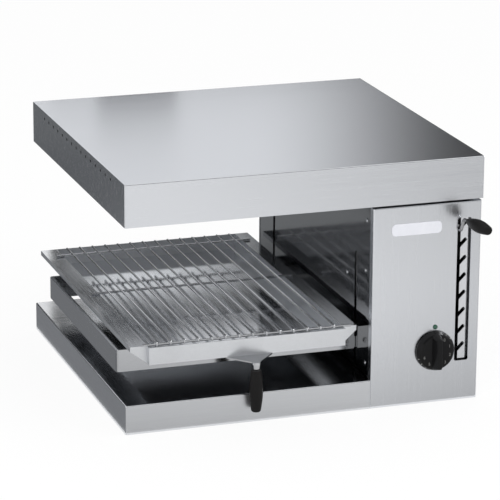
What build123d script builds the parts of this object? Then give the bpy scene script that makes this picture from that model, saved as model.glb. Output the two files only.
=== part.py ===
from build123d import *
import math
import os

# Countertop cheese melter: a fixed heated hood on a side column, and a rack that a
# handle raises through a cable lift inside the column.
# Millimetres. X to the right, Y to the back, Z up. The origin is on the resting face,
# under the centre of the hood.

# ---------------------------------------------------------------- overall body
BODY_W = 600.0
BODY_D = 565.0
BODY_H = 410.0
SHEET = 1.2
BEND_R = 2.0
HOOD_H = 70.0
HOOD_LIP = 2.0
HOOD_GAP = 4.0
COLUMN_W = 186.0
BASE_H = 48.0

LEFT = -BODY_W / 2
RIGHT = BODY_W / 2 - HOOD_LIP
FRONT = -BODY_D / 2 + HOOD_LIP
BACK = BODY_D / 2
COLUMN_X = RIGHT - COLUMN_W
HOOD_Z = BODY_H - HOOD_H
COLUMN_TOP = HOOD_Z - HOOD_GAP

# ---------------------------------------------------------------- base
CHANNEL_W = 30.0
CHANNEL_INSET = 90.0

# ---------------------------------------------------------------- column skins
PANEL_RETURN = 13.0
WALL_STRIP = 11.0
WALL_JOGGLE = 1.0
WALL_RETURN = 16.0
SLOT_W = 10.5
SLOT_UNDER = 24.5
LOUVRE_COUNT = 6
LOUVRE_L = 90.0
LOUVRE_W = 4.0
LOUVRE_PITCH = 14.0
LOUVRE_Z = 60.0
WIRING_HOLE = 60.0
PLINTH_INSET = 14.0
PLINTH_RIM = 16.0
WALL_SCREW_HEAD_R = 4.0
WALL_SCREW_HEAD_H = 2.0
WALL_SCREW_R = 2.0
WALL_SCREW_L = 7.0

# ---------------------------------------------------------------- hood
HOOD_RIM = 15.0
VENT_COUNT = 15
VENT_R = 2.5
VENT_PITCH = 29.0
VENT_DROP = 12.0
VENT_FIRST = 80.0
REFLECTOR_SHEET = 1.0
REFLECTOR_H = 44.0
REFLECTOR_FLARE = 25.0
REFLECTOR_RIM = 14.0
REFLECTOR_GAP = 8.0
REFLECTOR_RIGHT = COLUMN_X - REFLECTOR_GAP
TUBE_R = 4.25
TUBE_PITCH = 88.0
TUBE_COUNT = 6
TUBE_RISE = 18.0
TUBE_INSET = 34.0
TUBE_OVER = 14.0
TUBE_Z = HOOD_Z + TUBE_RISE
TUBE_LEFT = LEFT + TUBE_INSET
TUBE_RIGHT = COLUMN_X + TUBE_OVER
RAIL_SHEET = 2.0
RAIL_DROP = 7.0
RAIL_RIGHT_INSET = 90.0
RAIL_TOP_INSET = 18.0
TERMINAL_R = 6.0
TERMINAL_L = 10.0
TERMINAL_PIN_R = 1.75
TERMINAL_PIN_L = 12.0
HOOD_SCREW_R = 3.0
HOOD_SCREW_HEAD_R = 5.5
HOOD_SCREW_HEAD_H = 3.5
HOOD_NUT_H = 5.0

# ---------------------------------------------------------------- front controls
CUTOUT_INSET = 41.0
CUTOUT_W = 24.0
CUTOUT_BOTTOM = 67.0
CUTOUT_DROP = 27.0
CUTOUT_LEFT = RIGHT - CUTOUT_INSET
CUTOUT_TOP = COLUMN_TOP - CUTOUT_DROP
CUTOUT_R = 3.0
CHANNEL_GAP = 6.5
NOTCH_PITCH = 29.4
NOTCH_DROP = 7.8
NOTCH_FOOT = 20.0
NOTCH_TOP_Z = CUTOUT_TOP - NOTCH_DROP
NOTCH_COUNT = int((NOTCH_TOP_Z - NOTCH_FOOT - CUTOUT_BOTTOM) / NOTCH_PITCH) + 1
HANDLE_TRAVEL = (NOTCH_COUNT - 1) * NOTCH_PITCH
NOTCH_W = 6.2
NOTCH_STEP = 11.4
COMB_SHEET = 1.5
COMB_RECESS = 1.0
COMB_W = 12.5
COMB_DEPTH = 7.0
COMB_BOTTOM_GAP = 3.5
COMB_TOP_OVER = 14.0
KNOB_INSET = 76.0
KNOB_X = RIGHT - KNOB_INSET
KNOB_Z = 89.0
KNOB_R = 33.0
KNOB_SKIRT_H = 11.0
KNOB_GAP = 1.5
KNOB_BAR_W = 18.0
KNOB_BAR_H = 15.0
KNOB_BAR_REACH = 31.0
KNOB_TAPER = 20.0
KNOB_BAR_CORNER = 7.5
KNOB_EDGE_R = 1.2
KNOB_RIM = 3.0
POINTER_W = 2.0
SPINDLE_R = 3.0
SPINDLE_HOLE_R = 4.0
SPINDLE_FIT = 0.05
REGULATOR_W = 28.0
REGULATOR_D = 34.0
REGULATOR_H = 44.0
LENS_SHIFT = 0.5
LENS_RISE = 39.5
LENS_X = KNOB_X + LENS_SHIFT
LENS_Z = KNOB_Z + LENS_RISE
LENS_R = 4.0
LENS_STAND = 2.0
HOLDER_R = 6.5
HOLDER_L = 24.0

# ---------------------------------------------------------------- lift
HANDLE_DRUM_R = 29.0
RACK_DRUM_R = 20.0
CABLE_R = 1.25
CABLE_CLEAR = 0.3
DRUM_FLANGE = 2.5
DRUM_W = 8.0
SHAFT_R = 5.0
SHAFT_DROP = 36.0
SHAFT_INSET = 60.0
SHAFT_Z = COLUMN_TOP - SHAFT_DROP
SHAFT_Y = FRONT + SHAFT_INSET
IDLER_Z = 37.0
AXLE_R = 4.0
RUN_FIT = 0.06
BUSH_WALL = 3.0
BUSH_L = 8.0
BRACKET_SHEET = 3.0
BRACKET_W = 30.0
BRACKET_CLEAR = 3.0
BRACKET_LEFT_INSET = 10.0
BRACKET_RIGHT_INSET = 14.0

HANDLE_X = CUTOUT_LEFT + CHANNEL_GAP / 2
DRUM_SHIFT = 1.25
HANDLE_DRUM_X = HANDLE_X + DRUM_SHIFT
RACK_DRUM_INSET = 28.0
RACK_DRUM_X = COLUMN_X + RACK_DRUM_INSET
HANDLE_Z = NOTCH_TOP_Z - NOTCH_STEP
STEM_R = 2.75
SLIDER_SHEET = 4.0
SLIDER_INSET = 14.0
SLIDER_Y = FRONT + SLIDER_INSET
SLIDER_UP = 18.0
SLIDER_DOWN = 28.0
SLIDER_OVER = 18.5
SLIDER_RIGHT = HANDLE_X + SLIDER_OVER
BOSS_W = 16.0
BOSS_D = 20.0
HANDLE_ROD_R = 4.0
HANDLE_ROD_SHIFT = 14.75
HANDLE_ROD_X = HANDLE_X - HANDLE_ROD_SHIFT
HANDLE_ROD_Y = SLIDER_Y + SLIDER_SHEET + BOSS_D / 2
COLLAR_R = 6.0
COLLAR_L = 4.0
SLIDE_GAP = 0.3
CLAMP_H = 14.0
CLAMP_DROP = 16.25
CLAMP_FRONT = 7.0
CLAMP_REAR = 2.5
GRIP_L = 62.0
GRIP_RINGS = 9
GRIP_R = 10.5
GRIP_NECK_R = 5.0
GRIP_TURN = 9.0
GRIP_RISE = 19.4
GRIP_SHIFT = 4.9
GRIP_OUT = 19.0
GRIP_GAP = 4.0
GRIP_SOCKET = 8.0
GRIP_END_R = 7.5
STEM_OUT = 7.0
STEM_BEND_R = 4.5
CRANK_REACH = 10.0

# ---------------------------------------------------------------- rack
RACK_TRAVEL = HANDLE_TRAVEL * RACK_DRUM_R / HANDLE_DRUM_R
ARM_T = 6.0
ARM_H = 18.5
ARM_CLEAR = 3.0
CRADLE_SHEET = 1.5
CRADLE_INSET = 6.0
CRADLE_GAP = 2.0
CRADLE_LEFT = LEFT + CRADLE_INSET
CRADLE_RIGHT = COLUMN_X - CRADLE_GAP
CRADLE_Z = 80.0
CRADLE_H = 37.0
CRADLE_SETBACK = 73.0
CRADLE_FRONT = FRONT + CRADLE_SETBACK
CRADLE_D = 416.0
CRADLE_LIP = 6.0
CRADLE_R = 6.0
ARM_Z = CRADLE_Z + CRADLE_SHEET
ARM_TOP = ARM_Z + ARM_H
SLOT_TOP = ARM_TOP + RACK_TRAVEL + ARM_CLEAR
SLOT_BOTTOM = ARM_Z - SLOT_UNDER
CARRIAGE_INSET = 12.0
CARRIAGE_X = COLUMN_X + CARRIAGE_INSET
CARRIAGE_T = 4.0
CARRIAGE_H = 78.0
CARRIAGE_OVER = 22.0
GUIDE_R = 6.0
GUIDE_INSET = 70.0
GUIDE_BLOCK_W = 26.0
RUNNER_W = 22.0
RUNNER_T = 2.0
RUNNER_INSET = 20.0
CRADLE_SCREW_R = 2.5
CRADLE_SCREW_HEAD_R = 4.5
CRADLE_SCREW_HEAD_H = 2.5
CRADLE_SCREW_LEFT = 60.0
CRADLE_SCREW_RIGHT = 14.0

# ---------------------------------------------------------------- tray and grid
TRAY_SHEET = 1.0
TRAY_INSET = 45.0
TRAY_GAP = 37.0
TRAY_SETBACK = 20.0
TRAY_LEFT = LEFT + TRAY_INSET
TRAY_RIGHT = COLUMN_X - TRAY_GAP
TRAY_FRONT = FRONT + TRAY_SETBACK
TRAY_D = 568.0
RUNNER_RISE = 23.7
REST_GAP = 0.3
TRAY_Z = ARM_Z + RUNNER_RISE + REST_GAP
TRAY_H = 28.5
TRAY_LIP_LEFT = 28.0
TRAY_LIP_RIGHT = 23.0
TRAY_HEM = 8.0
TRAY_LIP_SETBACK = 12.0
TRAY_RIM_H = 4.0
TRAY_RIM_T = 0.8
TRAY_GUIDE_GAP = 2.0
PLATE_T = 2.0
PLATE_ROOT_W = 77.0
PLATE_TIP_W = 14.0
PLATE_REACH = 34.0
PLATE_SHIFT = 2.0
PLATE_X = (TRAY_LEFT + TRAY_RIGHT) / 2 + PLATE_SHIFT
FERRULE_R = 7.0
FERRULE_TIP_R = 4.8
FERRULE_L = 12.0
FERRULE_COLLAR = 2.0
TRAY_SCREW_R = 2.5
TRAY_SCREW_L = 14.0
TRAY_GRIP_L = 70.0
TRAY_GRIP_R = 11.2
TRAY_GRIP_TOP_R = 8.0
TRAY_GRIP_END_R = 8.2
WIRE_R = 1.9
WIRE_COUNT = 14
WIRE_INSET_LEFT = 14.3
WIRE_INSET_RIGHT = 18.0
WIRE_WELD = 0.6
WIRE_FRONT_GAP = 3.0
WIRE_REAR_GAP = 19.0
CROSS_MIDDLE = 0.53
CROSS_OVER = 12.0
CROSS_REAR_GAP = 29.0

# ---------------------------------------------------------------- supply
GLAND_INSET = 46.0
GLAND_X = RIGHT - GLAND_INSET
GLAND_Z = 42.0
GLAND_BORE_R = 5.0
GLAND_THREAD_R = 8.0
GLAND_NUT_R = 11.0
GLAND_OUT = 12.0
GLAND_IN = 8.0
BLOCK_INSET = 40.0
BLOCK_L = 50.0
BLOCK_WAYS = 5
BLOCK_H = 26.0
BLOCK_D = 22.0


def block(x, y, z):
    """A box between its limits on the three axes."""
    centre = Pos((x[0] + x[1]) / 2, (y[0] + y[1]) / 2, (z[0] + z[1]) / 2)
    return centre * Box(x[1] - x[0], y[1] - y[0], z[1] - z[0])


def rod(radius, start, end):
    """A round bar from one point to another."""
    run = Vector(end) - Vector(start)
    return Solid.make_cylinder(radius, run.length, Plane(origin=start, z_dir=run))


def turned(profile, origin, direction):
    """A solid of revolution: profile is a list of (radius, distance along the axis)."""
    points = [(radius, 0, along) for radius, along in profile]
    face = make_face(Polyline(*points, close=True).edges())
    return Plane(origin=origin, z_dir=direction) * revolve(face, Axis.Z)


def slot_through(x, y, z, width):
    """A vertical slot with round ends, cut along X."""
    half = width / 2
    body = block(x, (y - half, y + half), (z[0] + half, z[1] - half))
    for end in (z[0] + half, z[1] - half):
        body += rod(half, (x[0], y, end), (x[1], y, end))
    return body


def screw(start, end, shank_r, head_r, head_h):
    """A pan-head screw: shank from start to end, its head seated at start."""
    run = (Vector(end) - Vector(start)).normalized()
    top = Vector(start) - run * head_h
    crown = [(0, 0), (head_r * 0.7, 0), (head_r, head_h * 0.6), (head_r, head_h), (0, head_h)]
    return turned(crown, top, run) + rod(shank_r, start, end)


def group(solids):
    """Separate solids of one node."""
    return Compound(children=[solid for solid in solids])


# ================================================================ base
def make_base_casing():
    deck = block((LEFT, COLUMN_X), (FRONT, BACK), (0, BASE_H))
    folds = deck.edges().group_by(Axis.Z)[-1].sort_by(Axis.X)[:-1]
    deck = fillet(folds + deck.edges().filter_by(Axis.Z).sort_by(Axis.X)[:2], BEND_R)
    hollow = block(
        (LEFT + SHEET, COLUMN_X + SHEET),
        (FRONT + SHEET, BACK - SHEET),
        (-SHEET, BASE_H - SHEET),
    )
    return deck - hollow


def make_base_plate():
    return block((LEFT + SHEET, RIGHT - SHEET), (FRONT + SHEET, BACK - SHEET), (0, SHEET))


def make_base_stiffeners():
    rails = []
    for x in (LEFT + CHANNEL_INSET, COLUMN_X - CHANNEL_INSET):
        y = (FRONT + 2 * SHEET, BACK - 2 * SHEET)
        rail = block((x - CHANNEL_W / 2, x + CHANNEL_W / 2), y, (SHEET, BASE_H - SHEET))
        rail -= block(
            (x - CHANNEL_W / 2 + SHEET, x + CHANNEL_W / 2),
            y,
            (2 * SHEET, BASE_H - 2 * SHEET),
        )
        rails.append(rail)
    return group(rails)


# ================================================================ column skins
def cutout(y):
    """The handle slot in the front panel."""
    hole = block((CUTOUT_LEFT, CUTOUT_LEFT + CUTOUT_W), y, (CUTOUT_BOTTOM, CUTOUT_TOP))
    return fillet(hole.edges().filter_by(Axis.Y), CUTOUT_R)


def make_front_panel():
    panel = block((COLUMN_X, RIGHT), (FRONT, FRONT + PANEL_RETURN), (0, COLUMN_TOP))
    face = panel.edges().group_by(Axis.Y)[0]
    panel = fillet(face.sort_by(Axis.Z)[1:], BEND_R)
    panel -= block(
        (COLUMN_X + SHEET, RIGHT - SHEET),
        (FRONT + SHEET, FRONT + PANEL_RETURN + SHEET),
        (-SHEET, COLUMN_TOP - SHEET),
    )
    foot = (COLUMN_X - SHEET, COLUMN_X + SHEET)
    panel -= block(foot, (FRONT + SHEET, FRONT + PANEL_RETURN + SHEET), (-SHEET, SHEET))
    panel -= cutout((FRONT - SHEET, FRONT + 2 * SHEET))
    through = (FRONT - SHEET, FRONT + 2 * SHEET)
    for x, z, radius in ((KNOB_X, KNOB_Z, SPINDLE_HOLE_R), (LENS_X, LENS_Z, LENS_R)):
        panel -= rod(radius, (x, through[0], z), (x, through[1], z))
    return panel


WALL_X = COLUMN_X + WALL_JOGGLE
WALL_INNER = WALL_X + SHEET
STRIP_END = FRONT + PANEL_RETURN + WALL_STRIP
FRONT_ARM_Y = CRADLE_FRONT + CRADLE_SHEET + ARM_T / 2
REAR_ARM_Y = CRADLE_FRONT + CRADLE_D - CRADLE_SHEET - ARM_T / 2
WALL_SCREWS = (
    (31.0, COLUMN_TOP - 27.0),
    (33.0, COLUMN_TOP - 111.0),
    (28.0, 70.0),
    (117.0, COLUMN_TOP - 138.0),
)


def make_column_wall():
    z = (SHEET, COLUMN_TOP - SHEET)
    strip = (FRONT + PANEL_RETURN, STRIP_END)
    wall = block((COLUMN_X, COLUMN_X + SHEET), strip, z)
    wall += block((COLUMN_X, WALL_INNER), (STRIP_END - SHEET, STRIP_END), z)
    wall += block((WALL_X, WALL_INNER), (STRIP_END - SHEET, BACK - SHEET), z)
    wall += block((WALL_X, WALL_X + WALL_RETURN), (BACK - 2 * SHEET, BACK - SHEET), z)
    through = (COLUMN_X - SHEET, WALL_INNER + SHEET)
    for y in (FRONT_ARM_Y, REAR_ARM_Y):
        wall -= slot_through(through, y, (SLOT_BOTTOM, SLOT_TOP), SLOT_W)
    for y, z in WALL_SCREWS:
        wall -= rod(WALL_SCREW_R, (through[0], FRONT + y, z), (through[1], FRONT + y, z))
    return wall


def make_wall_screws():
    screws = []
    for y, z in WALL_SCREWS:
        seat = (WALL_X, FRONT + y, z)
        tip = (WALL_X + WALL_SCREW_L, FRONT + y, z)
        screws.append(screw(seat, tip, WALL_SCREW_R, WALL_SCREW_HEAD_R, WALL_SCREW_HEAD_H))
    return group(screws)


def make_side_panel():
    y = (FRONT + PANEL_RETURN, BACK)
    panel = block((RIGHT - SHEET, RIGHT), y, (0, COLUMN_TOP - SHEET))
    for row in range(LOUVRE_COUNT):
        z = LOUVRE_Z + row * LOUVRE_PITCH
        slot = block(
            (RIGHT - 2 * SHEET, RIGHT + SHEET),
            (BACK - 1.6 * LOUVRE_L, BACK - 0.6 * LOUVRE_L),
            (z, z + LOUVRE_W),
        )
        panel -= fillet(slot.edges().filter_by(Axis.X), LOUVRE_W * 0.45)
    return panel


def make_back_panel():
    panel = block((COLUMN_X, RIGHT - SHEET), (BACK - SHEET, BACK), (0, COLUMN_TOP - SHEET))
    gland = rod(GLAND_THREAD_R, (GLAND_X, BACK - 2 * SHEET, GLAND_Z), (GLAND_X, BACK + SHEET, GLAND_Z))
    for row in range(LOUVRE_COUNT):
        z = COLUMN_TOP - LOUVRE_Z - row * LOUVRE_PITCH
        middle = (COLUMN_X + RIGHT) / 2
        slot = block(
            (middle - LOUVRE_L / 2, middle + LOUVRE_L / 2),
            (BACK - 2 * SHEET, BACK + SHEET),
            (z, z + LOUVRE_W),
        )
        panel -= fillet(slot.edges().filter_by(Axis.Y), LOUVRE_W * 0.45)
    return panel - gland


COLUMN_MIDDLE = (COLUMN_X + RIGHT) / 2
HOOD_SCREWS = tuple(
    (x, y)
    for x in (COLUMN_X + PLINTH_INSET + PLINTH_RIM / 2, RIGHT - PLINTH_INSET - PLINTH_RIM / 2)
    for y in (FRONT + 2 * PLINTH_RIM, BACK - 2 * PLINTH_RIM)
)
CLOSING_Z = HOOD_Z + SHEET


def hood_screw_holes(z):
    return [rod(HOOD_SCREW_R, (x, y, z[0]), (x, y, z[1])) for x, y in HOOD_SCREWS]


def wiring_hole(z):
    half = WIRING_HOLE / 2
    return block((COLUMN_MIDDLE - half, COLUMN_MIDDLE + half), (-half, half), z)


def make_column_top():
    z = (COLUMN_TOP - SHEET, COLUMN_TOP)
    plate = block((COLUMN_X, RIGHT), (FRONT + PANEL_RETURN, BACK), z)
    reach = (z[0] - SHEET, z[1] + SHEET)
    plate -= wiring_hole(reach)
    for hole in hood_screw_holes(reach):
        plate -= hole
    return plate


def make_hood_plinth():
    z = (COLUMN_TOP, CLOSING_Z)
    x = (COLUMN_X + PLINTH_INSET, RIGHT - PLINTH_INSET)
    y = (FRONT + HOOD_RIM + SHEET, BACK - HOOD_RIM - SHEET)
    ring = block(x, y, z)
    reach = (z[0] - SHEET, z[1] + SHEET)
    ring -= block((x[0] + PLINTH_RIM, x[1] - PLINTH_RIM), (y[0] + PLINTH_RIM, y[1] - PLINTH_RIM), reach)
    for x, y in HOOD_SCREWS:
        pad = block(
            (x - PLINTH_RIM / 2, x + PLINTH_RIM / 2),
            (y - PLINTH_RIM / 2, y + PLINTH_RIM / 2),
            z,
        )
        ring += pad
    for hole in hood_screw_holes(reach):
        ring -= hole
    return ring


# ================================================================ hood
def make_hood_casing():
    x = (LEFT, -LEFT)
    y = (-BACK, BACK)
    shell = block(x, y, (HOOD_Z, BODY_H))
    shell = fillet(shell.edges().filter_by(Axis.Z) + shell.edges().group_by(Axis.Z)[-1], BEND_R)
    shell -= block(
        (x[0] + SHEET, x[1] - SHEET),
        (y[0] + SHEET, y[1] - SHEET),
        (HOOD_Z + SHEET, BODY_H - SHEET),
    )
    shell -= block(
        (x[0] + HOOD_RIM, x[1] - HOOD_RIM),
        (y[0] + HOOD_RIM, y[1] - HOOD_RIM),
        (HOOD_Z - SHEET, HOOD_Z + 2 * SHEET),
    )
    z = BODY_H - VENT_DROP
    for number in range(VENT_COUNT):
        along = -BACK + VENT_FIRST + number * VENT_PITCH
        shell -= rod(VENT_R, (x[0] - SHEET, along, z), (x[0] + 2 * SHEET, along, z))
    return shell


def make_hood_closing_plate():
    z = (CLOSING_Z, CLOSING_Z + SHEET)
    plate = block((REFLECTOR_RIGHT, -LEFT - SHEET), (-BACK + SHEET, BACK - SHEET), z)
    reach = (z[0] - SHEET, z[1] + SHEET)
    plate -= wiring_hole(reach)
    for hole in hood_screw_holes(reach):
        plate -= hole
    return plate


def trough(x, y, inset):
    """The reflector's trough as a solid, drawn in by the sheet for its inner side."""
    wide = Rectangle(x[1] - x[0] - 2 * inset, y[1] - y[0] - 2 * inset)
    top = Rectangle(
        x[1] - x[0] - 2 * (REFLECTOR_FLARE + inset),
        y[1] - y[0] - 2 * (REFLECTOR_FLARE + inset),
    )
    middle = Pos((x[0] + x[1]) / 2, (y[0] + y[1]) / 2, CLOSING_Z)
    return loft([middle * wide, middle * Pos(0, 0, REFLECTOR_H - inset) * top])


def make_reflector():
    x = (LEFT + SHEET, REFLECTOR_RIGHT)
    y = (-BACK + SHEET, BACK - SHEET)
    opening_x = (x[0] + REFLECTOR_RIM, x[1] - REFLECTOR_RIM)
    opening_y = (y[0] + REFLECTOR_RIM, y[1] - REFLECTOR_RIM)
    rim = block(x, y, (CLOSING_Z, CLOSING_Z + REFLECTOR_SHEET))
    shell = rim + trough(opening_x, opening_y, 0)
    shell -= trough(opening_x, opening_y, REFLECTOR_SHEET)
    for number in range(TUBE_COUNT):
        y = (number - (TUBE_COUNT - 1) / 2) * TUBE_PITCH
        leave = (REFLECTOR_RIGHT - REFLECTOR_RIM - REFLECTOR_FLARE - 8, y, TUBE_Z)
        shell -= rod(TUBE_R, leave, (REFLECTOR_RIGHT, y, TUBE_Z))
    return shell


def make_insulation():
    edge = REFLECTOR_RIM + REFLECTOR_FLARE + 4
    return block(
        (LEFT + SHEET + edge, REFLECTOR_RIGHT - edge),
        (-BACK + SHEET + edge, BACK - SHEET - edge),
        (CLOSING_Z + REFLECTOR_H, BODY_H - SHEET),
    )


def make_heating_elements():
    hairpins = []
    for pair in range(TUBE_COUNT // 2):
        near = (2 * pair - (TUBE_COUNT - 1) / 2) * TUBE_PITCH
        far = near + TUBE_PITCH
        bend_x = TUBE_LEFT + TUBE_PITCH / 2
        path = Polyline((TUBE_RIGHT, near, TUBE_Z), (bend_x, near, TUBE_Z))
        path += ThreePointArc(
            (bend_x, near, TUBE_Z),
            (TUBE_LEFT, (near + far) / 2, TUBE_Z),
            (bend_x, far, TUBE_Z),
        )
        path += Polyline((bend_x, far, TUBE_Z), (TUBE_RIGHT, far, TUBE_Z))
        section = Plane(origin=(TUBE_RIGHT, near, TUBE_Z), z_dir=(-1, 0, 0)) * Circle(TUBE_R)
        hairpins.append(sweep(section, path=path))
    return group(hairpins)


def make_element_rails():
    rails = []
    top = CLOSING_Z + REFLECTOR_H - REFLECTOR_SHEET
    for x in (TUBE_LEFT + TUBE_PITCH, REFLECTOR_RIGHT - RAIL_RIGHT_INSET):
        reach = TUBE_COUNT * TUBE_PITCH / 2 - TUBE_PITCH / 2 + 2.2 * TUBE_R
        upper = reach - RAIL_TOP_INSET
        outline = Polyline(
            (x, -reach, TUBE_Z - RAIL_DROP),
            (x, reach, TUBE_Z - RAIL_DROP),
            (x, reach, TUBE_Z + RAIL_DROP),
            (x, upper, top),
            (x, -upper, top),
            (x, -reach, TUBE_Z + RAIL_DROP),
            close=True,
        )
        rail = extrude(make_face(outline.edges()), amount=RAIL_SHEET, dir=(1, 0, 0))
        for number in range(TUBE_COUNT):
            y = (number - (TUBE_COUNT - 1) / 2) * TUBE_PITCH
            rail -= rod(TUBE_R, (x - 1, y, TUBE_Z), (x + RAIL_SHEET + 1, y, TUBE_Z))
        rails.append(rail)
    return group(rails)


def make_element_terminals():
    ends = []
    for number in range(TUBE_COUNT):
        y = (number - (TUBE_COUNT - 1) / 2) * TUBE_PITCH
        collar = rod(TERMINAL_R, (TUBE_RIGHT, y, TUBE_Z), (TUBE_RIGHT + TERMINAL_L, y, TUBE_Z))
        tip = TUBE_RIGHT + TERMINAL_L + TERMINAL_PIN_L
        collar += rod(TERMINAL_PIN_R, (TUBE_RIGHT + TERMINAL_L, y, TUBE_Z), (tip, y, TUBE_Z))
        ends.append(collar)
    return group(ends)


def make_hood_screws():
    screws = []
    for x, y in HOOD_SCREWS:
        head = (x, y, CLOSING_Z + SHEET)
        tip = (x, y, COLUMN_TOP - SHEET - HOOD_NUT_H)
        bolt = screw(head, tip, HOOD_SCREW_R, HOOD_SCREW_HEAD_R, HOOD_SCREW_HEAD_H)
        nut = extrude(RegularPolygon(HOOD_SCREW_HEAD_R, 6), HOOD_NUT_H)
        bolt += Pos(x, y, COLUMN_TOP - SHEET - HOOD_NUT_H) * nut
        screws.append(bolt)
    return group(screws)


# ================================================================ front controls
COMB_LEFT = CUTOUT_LEFT + CHANNEL_GAP
COMB_Y = FRONT + SHEET + COMB_RECESS


def make_notch_plate():
    """A Z-bent plate: comb with slanting notches, web, and a foot on the front panel's return."""
    z = (CUTOUT_BOTTOM + COMB_BOTTOM_GAP, CUTOUT_TOP + COMB_TOP_OVER)
    right = COMB_LEFT + COMB_W
    rear = COMB_Y + COMB_DEPTH
    plate = block((COMB_LEFT, right), (COMB_Y, COMB_Y + COMB_SHEET), z)
    plate += block((right - COMB_SHEET, right), (COMB_Y, rear), z)
    plate += block((right - COMB_SHEET, RIGHT - SHEET), (rear - COMB_SHEET, rear), z)
    for number in range(NOTCH_COUNT):
        tip_z = NOTCH_TOP_Z - number * NOTCH_PITCH
        tip = (HANDLE_X + NOTCH_STEP, COMB_Y, tip_z)
        cut = Pos(*tip) * Rot(0, -45, 0) * Box(4 * NOTCH_W, 4 * COMB_SHEET, NOTCH_W, align=(Align.MAX, Align.CENTER, Align.CENTER))
        cut += rod(NOTCH_W / 2, (tip[0], COMB_Y - 2 * COMB_SHEET, tip_z), (tip[0], COMB_Y + 2 * COMB_SHEET, tip_z))
        plate -= cut
    return plate


def make_knob():
    front = FRONT - KNOB_GAP
    origin = (KNOB_X, front, KNOB_Z)
    profile = [
        (0, 0),
        (KNOB_R, 0),
        (KNOB_R, KNOB_RIM),
        (KNOB_R - KNOB_RIM, KNOB_SKIRT_H - KNOB_RIM / 2),
        (KNOB_R - 2 * KNOB_RIM, KNOB_SKIRT_H),
        (0, KNOB_SKIRT_H),
    ]
    skirt = turned(profile, origin, (0, -1, 0))
    foot = Plane(origin=(KNOB_X, front - KNOB_SKIRT_H + 1, KNOB_Z), z_dir=(0, -1, 0), x_dir=(1, 0, 0))
    outline = foot * RectangleRounded(KNOB_BAR_W, 2 * KNOB_BAR_REACH, KNOB_BAR_CORNER)
    bar = extrude(outline, amount=KNOB_BAR_H + 1, taper=KNOB_TAPER)
    bar = fillet(bar.faces().sort_by(Axis.Y)[0].edges(), KNOB_EDGE_R)
    groove = front - KNOB_SKIRT_H - KNOB_BAR_H
    bar -= rod(POINTER_W / 2, (KNOB_X, groove, KNOB_Z + KNOB_BAR_REACH * 0.3), (KNOB_X, groove, KNOB_Z + KNOB_R))
    knob = skirt + bar
    knob -= rod(SPINDLE_R, (KNOB_X, front, KNOB_Z), (KNOB_X, front - KNOB_SKIRT_H, KNOB_Z))
    return knob


REGULATOR_Y = FRONT + SHEET


def make_regulator_spindle():
    tip = FRONT - KNOB_GAP - KNOB_SKIRT_H
    return rod(SPINDLE_R, (KNOB_X, tip, KNOB_Z), (KNOB_X, REGULATOR_Y + 12, KNOB_Z))


def make_energy_regulator():
    body = block(
        (KNOB_X - REGULATOR_W / 2, KNOB_X + REGULATOR_W / 2),
        (REGULATOR_Y, REGULATOR_Y + REGULATOR_D),
        (KNOB_Z - REGULATOR_H / 2, KNOB_Z + REGULATOR_H / 2),
    )
    body = fillet(body.edges().filter_by(Axis.Y), 2)
    hole_r = SPINDLE_R + SPINDLE_FIT
    return body - rod(hole_r, (KNOB_X, REGULATOR_Y - 1, KNOB_Z), (KNOB_X, REGULATOR_Y + 12.2, KNOB_Z))


def make_pilot_lens():
    profile = [
        (0, 0),
        (LENS_R, 0),
        (LENS_R, SHEET + LENS_STAND * 0.5),
        (LENS_R * 0.7, SHEET + LENS_STAND * 0.9),
        (0, SHEET + LENS_STAND),
    ]
    return turned(profile, (LENS_X, FRONT + SHEET, LENS_Z), (0, -1, 0))


def make_pilot_holder():
    return rod(HOLDER_R, (LENS_X, FRONT + SHEET, LENS_Z), (LENS_X, FRONT + SHEET + HOLDER_L, LENS_Z))


# ================================================================ lift
def pulley(x, z, drum_r, bore_r):
    """A grooved wheel on an X axis, for a cable that runs at the drum radius."""
    rim = drum_r + DRUM_FLANGE
    half = DRUM_W / 2
    groove_half = CABLE_R + CABLE_CLEAR
    root = drum_r - CABLE_R - CABLE_CLEAR
    profile = [
        (bore_r, -half),
        (rim, -half),
        (rim, -groove_half - 1),
        (root, -groove_half),
        (root, groove_half),
        (rim, groove_half + 1),
        (rim, half),
        (bore_r, half),
    ]
    return turned(profile, (x, SHAFT_Y, z), (1, 0, 0))


def cable_loop(x, drum_r):
    """A closed cable round an upper and a lower wheel."""
    runs = []
    for y in (SHAFT_Y - drum_r, SHAFT_Y + drum_r):
        runs.append(rod(CABLE_R, (x, y, IDLER_Z), (x, y, SHAFT_Z)))
    section = Plane(origin=(x, SHAFT_Y + drum_r, 0), z_dir=(0, 0, 1)) * Circle(CABLE_R)
    loop = runs[0] + runs[1]
    for z, turn in ((SHAFT_Z, 180), (IDLER_Z, -180)):
        bend = revolve(Pos(0, 0, z) * section, Axis((x, SHAFT_Y, z), (1, 0, 0)), turn)
        loop += bend
    return loop


BRACKET_LEFT = COLUMN_X + BRACKET_LEFT_INSET
BRACKET_RIGHT = RIGHT - BRACKET_RIGHT_INSET


def make_shaft_brackets():
    """Two plates that hang from the column top and carry the cross shaft."""
    plates = []
    for x in (BRACKET_LEFT, BRACKET_RIGHT):
        z = (SHAFT_Z - BRACKET_W / 2, COLUMN_TOP - SHEET)
        plate = block((x, x + BRACKET_SHEET), (SHAFT_Y - BRACKET_W / 2, SHAFT_Y + BRACKET_W / 2), z)
        plate = fillet(plate.edges().filter_by(Axis.X).group_by(Axis.Z)[0], BRACKET_W * 0.3)
        plate -= rod(SHAFT_R + BUSH_WALL, (x - 1, SHAFT_Y, SHAFT_Z), (x + BRACKET_SHEET + 1, SHAFT_Y, SHAFT_Z))
        plates.append(plate)
    return group(plates)


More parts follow.
